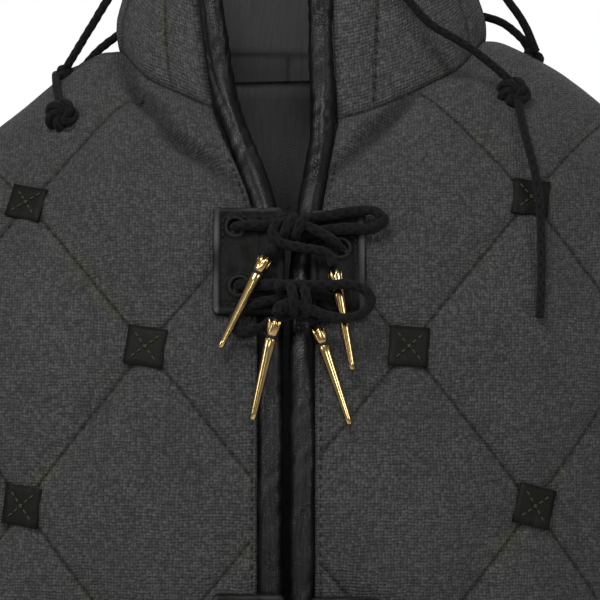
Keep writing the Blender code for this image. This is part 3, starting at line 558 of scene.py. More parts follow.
def triangle_shell(faces: Points, outer: Points, inner: Points) -> tuple[Points, Points, Points]:
    """Closes a net of outer triangles and its inner points into one wall.

    Args:
        faces: The outer skin's triangles.
        outer: Outer points, used or not.
        inner: Inner points, as many.

    Returns:
        The numbers of the points in use, the wall's points (outer, then inner) and its triangles.
    """
    used = np.unique(faces)
    number = np.full(len(outer), -1)
    number[used] = np.arange(len(used))
    faces = number[faces]
    ways = faces[:, [[0, 1], [1, 2], [2, 0]]].reshape(-1, 2)
    _, first, times = np.unique(np.sort(ways, axis=1), axis=0, return_index=True, return_counts=True)
    rim = ways[first[times == 1]]
    count = len(used)
    walls = [np.stack([rim[:, 1], rim[:, 0], rim[:, 0] + count], 1),
             np.stack([rim[:, 1], rim[:, 0] + count, rim[:, 1] + count], 1)]
    every = np.concatenate([faces, faces[:, ::-1] + count, *walls])
    return used, np.concatenate([outer[used], inner[used]]), every


def turn_out(made: Piece) -> None:
    """Turns a closed mesh's faces outward."""
    mesh = bmesh.new()
    mesh.from_mesh(made.data)
    bmesh.ops.recalc_face_normals(mesh, faces=mesh.faces)
    mesh.to_mesh(made.data)
    mesh.free()


def loop_edges(first: int, count: int) -> list[tuple[int, int]]:
    """Edges of a closed loop of points numbered from the first."""
    return [(first + k, first + (k + 1) % count) for k in range(count)]


def tube_rings(path: Points, count: int) -> tuple[Points, Points, Points]:
    """Directions across a path that don't twist, its distances, and the angles round it."""
    run = unit(np.gradient(path, axis=0))
    across = unit(np.cross(run[0], [0.13, -0.7, 0.71]))
    frames = []
    for way in run:
        across = unit(across - way * (across @ way))
        frames.append((across, np.cross(way, across)))
    return np.array(frames), distances(path), np.arange(count) * 2 * math.pi / count


def tube_piece(name: str, path: Points, radius: Callable[[Points, Points], Points], count: int,
               finish: Material) -> Piece:
    """A closed tube along a path, its radius a function of the distance and the angle."""
    frames, far, angles = tube_rings(path, count)
    s, phi = np.meshgrid(far, angles, indexing="ij")
    ring = (np.cos(phi)[..., None] * frames[:, None, 0] + np.sin(phi)[..., None] * frames[:, None, 1])
    points = path[:, None] + ring * radius(s, phi)[..., None]
    index = np.arange(len(path) * count).reshape(len(path), count)
    wrap = np.concatenate([index, index[:, :1]], 1)
    faces = np.stack([wrap[:-1, :-1], wrap[:-1, 1:], wrap[1:, 1:], wrap[1:, :-1]], -1).reshape(-1, 4).tolist()
    faces += [index[0][::-1].tolist(), index[-1].tolist()]
    made = new_piece(name, points.reshape(-1, 3), faces, [finish])
    write_uv(made, np.stack([s.ravel(), phi.ravel() / (2 * math.pi)], 1))
    return made


# Finishes


class Sketch:
    """Builds one material's nodes."""

    def __init__(self, name: str, colour: Colour, roughness: float, metallic: float = 0.0,
                 specular: float = 0.5, sheen: float = 0.0) -> None:
        """Starts a Principled material with its plain values."""
        self.material = bpy.data.materials.new(name)
        self.material.use_nodes = True
        self.nodes, self.links = self.material.node_tree.nodes, self.material.node_tree.links
        self.shader = self.nodes["Principled BSDF"]
        self.shader.inputs["Base Color"].default_value = (*colour, 1.0)
        self.shader.inputs["Roughness"].default_value = roughness
        self.shader.inputs["Metallic"].default_value = metallic
        self.shader.inputs["Specular IOR Level"].default_value = specular
        self.shader.inputs["Sheen Weight"].default_value = sheen
        self.shader.inputs["Sheen Roughness"].default_value = 0.6
        self.material.diffuse_color = (*colour, 1.0)

    def node(self, kind: str, **values: object) -> bpy.types.Node:
        """Adds a node and sets its properties."""
        made = self.nodes.new(kind)
        for key, value in values.items():
            setattr(made, key, value)
        return made

    def feed(self, socket: Socket, value: object) -> None:
        """Links a socket, or sets its value."""
        if isinstance(value, Socket):
            self.links.new(value, socket)
        else:
            socket.default_value = value

    def math(self, operation: str, a: object, b: object = 0.0, c: object = 0.0) -> Socket:
        """One Math node."""
        made = self.node("ShaderNodeMath", operation=operation)
        for socket, value in zip(made.inputs, (a, b, c)):
            self.feed(socket, value)
        return made.outputs[0]

    def cut(self) -> tuple[Socket, Socket, Socket]:
        """The piece's own flat cut, as a vector and its two parts."""
        vector = self.node("ShaderNodeUVMap", uv_map="cut").outputs[0]
        parts = self.node("ShaderNodeSeparateXYZ")
        self.links.new(vector, parts.inputs[0])
        return vector, parts.outputs[0], parts.outputs[1]

    def place(self) -> Socket:
        """Object coordinates."""
        return self.node("ShaderNodeTexCoord").outputs["Object"]

    def scaled(self, vector: Socket, scale: tuple[float, float, float]) -> Socket:
        """A vector times a scale."""
        made = self.node("ShaderNodeVectorMath", operation="MULTIPLY")
        self.links.new(vector, made.inputs[0])
        made.inputs[1].default_value = scale
        return made.outputs[0]

    def noise(self, vector: Socket, scale: float, detail: float = 2.0,
              rough: float = 0.5) -> Socket:
        """Smooth noise from 0 to 1."""
        made = self.node("ShaderNodeTexNoise")
        self.links.new(vector, made.inputs["Vector"])
        made.inputs["Scale"].default_value = scale
        made.inputs["Detail"].default_value = detail
        made.inputs["Roughness"].default_value = rough
        return made.outputs[0]

    def value(self, name: str) -> Socket:
        """A number stored on the mesh."""
        return self.node("ShaderNodeAttribute", attribute_name=name).outputs["Fac"]

    def span(self, value: object, low: float, high: float, to_low: float = 0.0,
             to_high: float = 1.0) -> Socket:
        """A value taken from one range to another, and kept in it."""
        made = self.node("ShaderNodeMapRange")
        for socket, item in zip(made.inputs, (value, low, high, to_low, to_high)):
            self.feed(socket, item)
        return made.outputs[0]

    def blend(self, share: object, a: object, b: object) -> Socket:
        """Mixes two colours."""
        made = self.node("ShaderNodeMix", data_type="RGBA")
        self.feed(made.inputs[0], share)
        for socket, item in ((made.inputs[6], a), (made.inputs[7], b)):
            self.feed(socket, item if isinstance(item, Socket) else (*item, 1.0))
        return made.outputs[2]

    def paint(self, colour: Socket) -> None:
        """Links the base colour."""
        self.links.new(colour, self.shader.inputs["Base Color"])

    def paint_toned(self, colour: object, tone: Socket) -> None:
        """Links the base colour, a colour times a tone."""
        shade = self.node("ShaderNodeVectorMath", operation="SCALE")
        self.feed(shade.inputs[0], colour)
        self.feed(shade.inputs["Scale"], tone)
        self.paint(shade.outputs[0])

    def product(self, *values: object) -> Socket:
        """Several numbers multiplied."""
        made = values[0]
        for value in values[1:]:
            made = self.math("MULTIPLY", made, value)
        return made

    def bump(self, height: Socket, distance: float, strength: float = 1.0) -> None:
        """Adds relief, its distance in millimetres, over what is there."""
        made = self.node("ShaderNodeBump")
        made.inputs["Strength"].default_value = strength
        made.inputs["Distance"].default_value = distance * MM
        self.links.new(height, made.inputs["Height"])
        before = self.shader.inputs["Normal"]
        if before.is_linked:
            self.links.new(before.links[0].from_socket, made.inputs["Normal"])
        self.links.new(made.outputs[0], before)


@dataclass(frozen=True)
class Canvas:
    """Plain-woven cotton canvas, washed and a little faded, with painted shade in its folds, along its
    stitched lines and between its threads.
    """

    name: str = "black_canvas"
    colour: Colour = (0.047, 0.047, 0.0466)
    thread: float = 1.46
    relief: float = 0.46
    mottle: float = 0.26
    # grain sets how much the raised threads and pebbles are painted lighter and the gaps between them darker,
    # as painted shade.
    grain: float = 0.42
    drift: float = 3.4
    tint: Colour = (0.062, 0.060, 0.043)
    sheen: float = 0.04

    def material(self) -> Material:
        """Makes the material, its weave laid along each piece's own cut and a little drawn about."""
        s = Sketch(self.name, self.colour, 0.94, specular=0.12, sheen=self.sheen)
        vector, _, _ = s.cut()
        sway = s.node("ShaderNodeTexNoise")
        s.links.new(vector, sway.inputs["Vector"])
        sway.inputs["Scale"].default_value, sway.inputs["Detail"].default_value = 62.0, 3.0
        drawn = s.node("ShaderNodeVectorMath", operation="MULTIPLY_ADD")
        s.links.new(sway.outputs["Color"], drawn.inputs[0])
        drawn.inputs[1].default_value = (self.drift * MM, self.drift * MM, 0.0)
        s.links.new(vector, drawn.inputs[2])
        parts = s.node("ShaderNodeSeparateXYZ")
        s.links.new(drawn.outputs[0], parts.inputs[0])
        pitch = math.pi / (self.thread * MM)
        warp = s.math("SINE", s.math("MULTIPLY", parts.outputs[0], pitch))
        weft = s.math("SINE", s.math("MULTIPLY", parts.outputs[1], pitch * 1.05))
        over = s.math("MULTIPLY", s.math("SIGN", warp), weft)
        under = s.math("MULTIPLY", s.math("SIGN", weft), warp)
        rise_a = s.math("MULTIPLY_ADD", over, 0.42, s.math("POWER", s.math("ABSOLUTE", warp), 0.6))
        rise_b = s.math("MULTIPLY_ADD", under, -0.42, s.math("POWER", s.math("ABSOLUTE", weft), 0.6))
        weave = s.math("MAXIMUM", rise_a, rise_b)
        cells = s.node("ShaderNodeTexVoronoi", feature="F1")
        s.links.new(drawn.outputs[0], cells.inputs["Vector"])
        cells.inputs["Scale"].default_value = 1000.0 / self.thread
        cells.inputs["Randomness"].default_value = 0.85
        chance = s.node("ShaderNodeSeparateXYZ")
        s.links.new(cells.outputs["Color"], chance.inputs[0])
        pebble = s.span(cells.outputs["Distance"], 0.14, 0.72, 1.0, 0.0)
        fleck = s.noise(vector, 900.0, 2.0)
        cloud = s.noise(vector, 24.0, 4.0, 0.62)
        line = s.value("line")
        tone = s.product(
            # Raised threads and pebbles lighter and the gaps between them darker: painted shade at the
            # weave's scale.
            s.span(weave, 0.35, 1.3, 1.0 - self.grain * 0.55, 1.0 + self.grain * 0.25),
            s.span(pebble, 0.0, 1.0, 1.0 - self.grain * 0.85, 1.0 + self.grain * 0.55),
            s.span(chance.outputs[0], 0.0, 1.0, 0.74, 1.26),
            s.span(fleck, 0.25, 0.75, 0.84, 1.16),
            s.span(cloud, 0.25, 0.75, 1.0 - self.mottle / 2, 1.0 + self.mottle / 2),
            # Painted shade along the stitched lines, the seams and the collar's foot: the canvas is darker
            # within 1.5 mm of them.
            s.span(line, 0.0, 1.5, 0.42, 1.0),
            # Painted shade: the canvas is darkened by up to 45% where a fold sinks it.
            s.span(s.value("painted_fold_shade"), 0.1, 1.0, 1.0, 0.55),
        )
        near = s.span(line, 0.5, 6.0, 0.8, 0.0)
        patchy = s.span(s.noise(vector, 30.0, 3.0), 0.54, 0.66)
        stained = s.blend(s.math("MULTIPLY", near, patchy), self.colour, self.tint)
        s.paint_toned(stained, tone)
        s.bump(cloud, 1.4, 0.4)
        s.bump(s.math("MULTIPLY_ADD", pebble, 0.8, weave), self.relief, 1.0)
        return s.material


@dataclass(frozen=True)
class Lining:
    """The fine plain cloth of the inside, its grey painted lighter higher up as painted light inside the
    neck.
    """

    name: str
    grey: float
    # Each step paints the lining lighter higher up: painted light inside the neck.
    steps: tuple[tuple[float, float, float], ...]  # height in m from which it changes, height to, new grey
    thread: float = 0.8

    def material(self) -> Material:
        """Makes the material."""
        shade: object = (self.grey, self.grey, self.grey)
        s = Sketch(self.name, shade, 0.9, specular=0.15, sheen=0.05)
        vector, u, v = s.cut()
        pitch = math.pi / (self.thread * MM)
        warp = s.math("SINE", s.math("MULTIPLY", u, pitch))
        weft = s.math("SINE", s.math("MULTIPLY", v, pitch))
        weave = s.math("MULTIPLY", warp, weft)
        slub = s.noise(s.scaled(vector, (620.0, 50.0, 1.0)), 1.0, 3.0)
        cloud = s.noise(vector, 20.0, 3.0)
        tone = s.product(
            s.span(slub, 0.2, 0.8, 0.80, 1.20),
            s.span(cloud, 0.25, 0.75, 0.9, 1.1),
            # Painted shade along the lining's seams: darker within 1.3 mm of them.
            s.span(s.value("line"), 0.0, 1.3, 0.35, 1.0),
        )
        height = s.node("ShaderNodeSeparateXYZ")
        s.links.new(s.place(), height.inputs[0])
        for low, high, grey in self.steps:
            shade = s.blend(s.span(height.outputs[2], low, high), shade, (grey, grey, grey))
        s.paint_toned(shade, tone)
        s.bump(cloud, 1.0, 0.4)
        s.bump(weave, 0.1, 0.6)
        return s.material


@dataclass(frozen=True)
class Leather:
    """Black garment leather, with a fine grain, creases and rubbed high places, and a painted highlight mixed
    with rubbed wear where its worn value is set.
    """

    name: str
    colour: Colour
    rubbed: Colour
    roughness: float
    crease: float = 0.7
    shine: float = 0.34
    grain: float = 0.12
    # bare is the lighter colour of the patch edges: a painted highlight mixed with rubbed wear.
    bare: Colour = (0.115, 0.115, 0.113)

    def material(self) -> Material:
        """Makes the material."""
        s = Sketch(self.name, self.colour, self.roughness, specular=self.shine)
        place = s.place()
        cells = s.node("ShaderNodeTexVoronoi", feature="DISTANCE_TO_EDGE")
        s.links.new(place, cells.inputs["Vector"])
        cells.inputs["Scale"].default_value = 900.0
        pebble = s.span(cells.outputs["Distance"], 0.0, 0.25)
        folds = s.noise(s.scaled(place, (210.0, 210.0, 75.0)), 1.0, 4.0, 0.62)
        cloud = s.noise(place, 60.0, 3.0)
        worn = s.math("MULTIPLY", s.span(folds, 0.5, 0.72), s.span(cloud, 0.35, 0.7))
        # Where the mesh's worn value is set, the colour goes to bare: a painted highlight on the patches'
        # rolled edges and eyelet lips, mixed with rubbed wear.
        edge = s.math("MULTIPLY", s.value("worn"), s.span(cloud, 0.3, 0.55, 0.5, 1.0))
        s.paint(s.blend(edge, s.blend(worn, self.colour, self.rubbed), self.bare))
        rough = s.span(cloud, 0.2, 0.8, self.roughness - 0.08, self.roughness + 0.12)
        s.links.new(rough, s.shader.inputs["Roughness"])
        s.bump(folds, self.crease, 0.6)
        s.bump(pebble, self.grain, 0.5)
        return s.material


@dataclass(frozen=True)
class Cotton:
    """Matte black cotton cord, plaited, with a soft nap; its plait is painted, strands lighter and the gaps
    between them darker, as painted shade.
    """

    name: str = "black_cord"
    colour: Colour = (0.0060, 0.0060, 0.0062)
    strands: int = 4
    lay: float = 5.5

    def material(self) -> Material:
        """Makes the material."""
        s = Sketch(self.name, self.colour, 0.95, specular=0.05, sheen=0.03)
        _, far, turn = s.cut()
        spin = s.math("MULTIPLY", turn, 2 * math.pi * self.strands)
        run = s.math("MULTIPLY", far, 2 * math.pi / self.lay)
        plait = s.math("MAXIMUM", *(s.math("SINE", s.math(way, spin, run)) for way in ("ADD", "SUBTRACT")))
        fuzz = s.noise(s.place(), 1500.0, 3.0, 0.7)
        # Painted shade in the plait: strands lighter, the gaps between them darker; the fuzz tone is random.
        tone = s.math("MULTIPLY", s.span(plait, -0.5, 1.0, 0.55, 1.3), s.span(fuzz, 0.25, 0.75, 0.45, 1.7))
        s.paint_toned(self.colour, tone)
        s.bump(s.noise(s.place(), 420.0, 2.0), 0.8, 0.5)
        s.bump(fuzz, 0.45, 0.9)
        return s.material


@dataclass(frozen=True)
class Thread:
    """Sewing thread."""

    name: str
    colour: Colour

    def material(self) -> Material:
        """Makes the material."""
        s = Sketch(self.name, self.colour, 0.7, specular=0.3)
        fuzz = s.noise(s.place(), 2600.0, 2.0)
        dark = tuple(0.55 * c for c in self.colour)
        s.paint(s.blend(s.span(fuzz, 0.3, 0.7), dark, self.colour))
        s.bump(fuzz, 0.1, 0.5)
        return s.material


@dataclass(frozen=True)
class Brass:
    """Turned and polished brass, a little dulled in random patches."""

    name: str = "brass"
    colour: Colour = (0.56, 0.41, 0.18)

    def material(self) -> Material:
        """Makes the material."""
        s = Sketch(self.name, self.colour, 0.24, metallic=1.0)
        place = s.place()
        cloud = s.noise(place, 260.0, 3.0)
        s.paint(s.blend(s.span(cloud, 0.40, 0.75), self.colour, (0.40, 0.26, 0.11)))
        s.links.new(s.span(cloud, 0.2, 0.8, 0.12, 0.22), s.shader.inputs["Roughness"])
        s.bump(s.noise(place, 300.0, 2.0), 0.02, 0.3)
        return s.material


@dataclass
class Finishes:
    """Every finish of the coat, made once."""

    canvas: Material = field(default_factory=Canvas().material)
    # The collar's canvas is a paler copy of the body's: painted light on the collar.
    collar: Material = field(default_factory=Canvas("lit_collar_canvas", (0.059, 0.059, 0.0585)).material)
    # Both linings are painted paler higher up, as painted light inside the neck and under the collar.
    lining: Material = field(default_factory=Lining("body_lining", 0.030, (
        (-0.125, -0.085, 0.070), (-0.062, -0.012, 0.265), (-0.012, -0.007, 0.420))).material)
    facing: Material = field(default_factory=Lining(
        "neck_lining", 0.040, ((0.0088, 0.0096, 0.052),)).material)
    binding: Material = field(default_factory=Leather(
        "black_leather", (0.0040, 0.0040, 0.0042), (0.010, 0.010, 0.0105), 0.32, shine=0.24).material)
    patch: Material = field(default_factory=Leather(
        "patch_leather", (0.0048, 0.0047, 0.0045), (0.013, 0.012, 0.012), 0.52, 0.9, 0.07).material)
    square: Material = field(default_factory=Leather(
        "square_leather", (0.0070, 0.0070, 0.0060), (0.016, 0.016, 0.014), 0.52, 0.7, 0.08).material)
    cord: Material = field(default_factory=Cotton().material)
    thread: Material = field(default_factory=Thread("black_thread", (0.012, 0.012, 0.012)).material)
    olive: Material = field(default_factory=Thread("olive_thread", (0.045, 0.042, 0.020)).material)
    brass: Material = field(default_factory=Brass().material)
    # A near-black disc in each shoulder eyelet: painted shade of the hole.
    hole: Material = field(default_factory=Thread("painted_hole_shade", (0.002, 0.002, 0.002)).material)


# Studio


@dataclass
class Studio:
    """The camera, the light and the floor."""

    eye: tuple[float, float, float] = (0.0057, -2.325, -0.107)
    lens: float = 300.0
    floor: float = -0.882
    dim: float = 0.22

    def camera(self) -> None:
        """Sets the camera level with the chest, looking along +Y."""
        data = bpy.data.cameras.new("camera")
        data.lens, data.sensor_width = self.lens, 36.0
        data.clip_end = 60.0
        made = bpy.data.objects.new("camera", data)
        made.location = self.eye
        made.rotation_euler = (math.pi / 2, 0.0, 0.0)
        bpy.context.scene.collection.objects.link(made)
        bpy.context.scene.camera = made

    def light(self) -> None:
        """A white room round the coat, a broad soft light from above and a softer one from each side."""
        scene = bpy.context.scene
        scene.view_settings.view_transform = "Standard"
        scene.view_settings.look = "None"
        world = bpy.data.worlds.new("white_room")
        world.use_nodes = True
        scene.world = world
        nodes, links = world.node_tree.nodes, world.node_tree.links
        rays = nodes.new("ShaderNodeLightPath")
        strength = nodes.new("ShaderNodeMix")
        strength.inputs[2].default_value, strength.inputs[3].default_value = self.dim, 1.0
        links.new(rays.outputs["Is Camera Ray"], strength.inputs[0])
        links.new(strength.outputs[0], nodes["Background"].inputs["Strength"])
        nodes["Background"].inputs["Color"].default_value = (1.0, 1.0, 1.0, 1.0)
        for name, place, aim, size, power in (
            ("light_above", (-0.55, -1.60, 1.60), (0.0, -0.05, -0.15), 1.1, 38.0),
            ("light_front", (0.04, -3.25, 0.42), (0.0, 0.0, -0.1), 0.8, 15.0),
            ("light_left", (-2.0, -1.2, 0.6), (0.0, 0.0, -0.1), 0.8, 12.0),
            ("light_right", (2.0, -1.5, 0.7), (0.0, 0.0, -0.1), 0.8, 15.0),
            ("light_behind", (0.3, 2.1, 1.5), (0.0, 0.0, -0.3), 1.4, 34.0),
        ):
            data = bpy.data.lights.new(name, "AREA")
            data.shape, data.size, data.energy = "DISK", size, power
            made = bpy.data.objects.new(name, data)
            made.location = place
            made.rotation_euler = (Vector(aim) - Vector(place)).to_track_quat("-Z", "Y").to_euler()
            scene.collection.objects.link(made)

    def ground(self) -> None:
        """A plain pale floor."""
        s = Sketch("pale_floor", (0.80, 0.80, 0.80), 0.8, specular=0.2)
        speck = s.noise(s.place(), 30.0, 4.0)
        s.paint(s.blend(s.span(speck, 0.3, 0.7), (0.78, 0.78, 0.78), (0.82, 0.82, 0.82)))
        mesh = bmesh.new()
        bmesh.ops.create_grid(mesh, x_segments=1, y_segments=1, size=6.0)
        bmesh.ops.translate(mesh, verts=mesh.verts, vec=(0.0, 0.0, self.floor))
        data = bpy.data.meshes.new("floor")
        mesh.to_mesh(data)
        mesh.free()
        data.materials.append(s.material)
        made = bpy.data.objects.new("floor", data)
        bpy.context.scene.collection.objects.link(made)


# Lacing


@dataclass
class Lacing:
    """Three laced pairs of leather patches, each with two laces and four brass aglets."""

    form: CoatForm
    finish: Finishes
    pitch: float = 167.0
    pairs: tuple[str, ...] = ("chest", "waist", "hip")
    radius: float = 2.25
    routes: dict = field(default_factory=lambda: {  # x, z and distance off the cloth
        "upper_a": (
            (-22.4, -77.0, 4.6), (-21.6, -77.2, 7.0), (-17.0, -77.8, 8.9), (-8.0, -78.0, 8.9),
            (4.0, -76.5, 8.9), (16.0, -74.0, 8.9), (28.0, -72.0, 8.9), (37.5, -71.6, 8.9),
            (42.0, -75.4, 8.9), (37.5, -79.0, 8.9), (27.0, -79.2, 8.9), (14.0, -80.4, 8.9),
            (3.0, -83.5, 8.9), (-4.0, -87.0, 10.6), (-8.0, -91.4, 13.5),
        ),
        "upper_b": (
            (23.3, -86.2, 4.6), (22.4, -86.0, 7.4), (18.5, -84.8, 12.4), (12.0, -82.0, 14.4),
            (4.0, -78.8, 14.4), (-3.5, -79.3, 14.4), (-6.0, -83.5, 14.4), (-2.0, -87.5, 14.2),
            (6.0, -89.0, 13.6), (14.0, -90.4, 13.0), (18.4, -92.8, 12.6), (19.8, -96.4, 12.3),
        ),
        "lower_a": (
            (-20.7, -102.7, 4.6), (-20.3, -102.8, 7.2), (-18.0, -103.0, 7.9), (-12.5, -103.4, 8.4),
            (-5.0, -104.5, 12.6), (4.0, -105.8, 16.4), (14.0, -106.0, 17.2), (24.0, -105.6, 17.4),
            (31.5, -107.4, 17.4), (35.0, -112.5, 17.4), (31.0, -118.0, 17.4), (22.0, -119.6, 17.2),
            (12.0, -116.8, 16.8), (3.0, -113.4, 16.4), (-2.8, -114.4, 16.4), (-4.4, -118.0, 16.8),
        ),
        "lower_b": (
            (19.5, -108.0, 4.6), (17.9, -107.9, 7.8), (14.0, -107.8, 9.4), (5.0, -108.4, 8.9),
            (-6.0, -109.6, 8.4), (-14.0, -111.2, 7.8), (-20.5, -114.2, 7.6), (-22.8, -119.3, 7.4),
            (-18.5, -123.4, 7.6), (-11.0, -121.6, 8.6), (-3.0, -117.6, 8.9), (4.0, -115.6, 8.9),
            (9.5, -116.8, 8.9), (12.4, -119.4, 8.9),
        ),
    })
    tips: dict = field(default_factory=lambda: {  # x, z and distance off the cloth
        "upper_a": (-28.2, -130.2, 10.6),
        "upper_b": (28.2, -141.7, 10.0),
        "lower_a": (-14.5, -160.2, 9.5),
        "lower_b": (25.5, -158.4, 7.5),
    })
    knots: dict = field(default_factory=lambda: {  # x, z, off the cloth, reach up and out, width, turns, tilt
        "upper": (2.0, -80.0, 11.6, 3.9, 4.6, 11.0, 2.2, 0.35),
        "lower": (3.6, -110.6, 13.0, 5.4, 5.6, 12.0, 2.2, -0.3),
    })
    ring: tuple[float, float] = (8.3, 9.7)
    profile: tuple = (  # height and radius
        (9.7, 2.55), (10.0, 2.68), (13.5, 2.45), (18.0, 2.22), (26.0, 1.95),
        (34.0, 1.68), (43.0, 1.38), (45.5, 1.22), (46.1, 0.7),
    )
    neck: float = 2.35
    wall: float = 0.45
    petals: int = 5
    petal: tuple[float, float] = (1.2, 6.2)

    def route(self, key: str, pair: int) -> Points:
        """One half of a lace, from its eyelet to its aglet."""
        rows = np.array(self.routes[key])
        return self.form.front_point(rows[:, 0], rows[:, 1] - self.pitch * pair, rows[:, 2])

    def lace(self, key: str, pair: int, aglet: Piece) -> None:
        name = f"lace_{self.pairs[pair]}_{key}"
        rough = self.route(key, pair)
        path = evenly(smooth_route(rough, 10), 0.8)
        seed = 2.1 * pair + 0.7 * sum(map(ord, key))

        def radius(s: Points, phi: Points) -> Points:
            """A soft cord with a plait, uneven along its length."""
            plait = np.maximum(np.sin(4 * phi + s * 1.15), np.sin(4 * phi - s * 1.15))
            flat = 0.10 * np.cos(2 * phi + 1.5 * ripple(s, s * 0, 40.0, seed))
            return self.radius * (1 + 0.08 * plait + flat + 0.10 * ripple(s, phi * 2, 8.0, seed))

        made = tube_piece(name, path, radius, 16, self.finish.cord)
        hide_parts(name)
        length = distances(path)[-1] * MM

    def aglet(self, key: str, pair: int) -> Piece:
        """A brass aglet: a crown of petals, a dark neck and a long taper."""
        end = self.route(key, pair)[-1]
        x, z, off = self.tips[key]
        tip = self.form.front_spot(x, z - self.pitch * pair, off)
        way = unit(tip - end)
        start = end + way * 1.2
        mesh = bmesh.new()
        low, high = self.ring
        profile = [(0.0, low), (self.neck, low), (self.neck, high)]
        profile += [(r, h) for h, r in self.profile] + [(0.0, self.profile[-1][0] + 0.1)]
        rod = [mesh.verts.new((r, 0.0, h)) for r, h in profile]
        edges = [mesh.edges.new(pair_of) for pair_of in zip(rod, rod[1:])]
        bmesh.ops.spin(mesh, geom=rod + edges, cent=(0, 0, 0), axis=(0, 0, 1), angle=2 * math.pi, steps=28,
                       use_merge=True)
        self.crown(mesh)
        bmesh.ops.remove_doubles(mesh, verts=mesh.verts, dist=0.01)
        for face in mesh.faces:
            face.material_index = int(all(low - 0.01 <= v.co.z <= high + 0.01 for v in face.verts))
        turn = Vector((0, 0, 1)).rotation_difference(Vector(way)).to_matrix().to_4x4()
        bmesh.ops.transform(mesh, matrix=turn, verts=mesh.verts)
        bmesh.ops.translate(mesh, verts=mesh.verts, vec=Vector(start))
        made = piece_from(f"aglet_{self.pairs[pair]}_{key}", mesh, [self.finish.brass, self.finish.thread])
        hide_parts(f"aglet_{self.pairs[pair]}_{key}")
        return made

    def crown(self, mesh: Mesh) -> None:
        """The cup of petals round the lace's end."""
        count = self.petals * 8
        outer, inner = [], []
        for share in (0.0, 0.15, 0.4, 0.7, 1.0):
            rings = ([], [])
            for k in range(count):
                turn = 2 * math.pi * k / count
                petal = 1 - (2 * abs((k / 8 + 0.5) % 1.0 - 0.5)) ** 3.5
                h = self.ring[0] - share * (self.petal[0] + self.petal[1] * petal)
                flare = 0.75 * math.sin(min(share * 1.6, 1.0) * math.pi / 2)
                r = self.neck + flare - 0.35 * share * (1 - petal)
                for ring, far, up in ((rings[0], r, h), (rings[1], r - self.wall, h + 0.15)):
                    ring.append(mesh.verts.new((math.cos(turn) * far, math.sin(turn) * far, up)))
            outer.append(rings[0])
            inner.append(rings[1])
        for rings, turn in ((outer, 1), (inner, -1)):
            for low, high in zip(rings, rings[1:]):
                for k in range(count):
                    n = (k + 1) % count
                    mesh.faces.new((low[k], low[n], high[n], high[k])[::turn])
        for low, high in ((outer[-1], inner[-1]), (inner[0], outer[0])):
            for k in range(count):
                n = (k + 1) % count
                mesh.faces.new((low[k], low[n], high[n], high[k]))

    def knot(self, key: str, pair: int) -> None:
        """The turns of a lace drawn tight round the crossing."""
        x, z, off, up, out, width, turns, tilt = self.knots[key]
        share = np.linspace(0.0, 1.0, 90)
        turn = share * turns * 2 * math.pi + 0.6
        rise = up * np.sin(turn)
        spots = self.form.front_point(
            x + (share - 0.5) * width + tilt * rise, z - self.pitch * pair + rise, off + out * np.cos(turn))
        path = evenly(smooth_route(spots, 2), 0.8)

        def radius(s: Points, phi: Points) -> Points:
            """A drawn lace, tucked in at both ends."""
            ends = np.minimum(s, s.max() - s) / 4.0
            plait = np.maximum(np.sin(4 * phi + s * 1.15), np.sin(4 * phi - s * 1.15))
            return self.radius * 0.98 * (1 + 0.07 * plait) * np.clip(0.35 + ends, 0, 1)

        made = tube_piece(f"knot_{self.pairs[pair]}_{key}", path, radius, 16, self.finish.cord)

    def build(self) -> None:
        """Builds every lace, aglet and knot."""
        for pair in range(len(self.pairs)):
            for key in self.routes:
                self.lace(key, pair, self.aglet(key, pair))
            for key in self.knots:
                self.knot(key, pair)


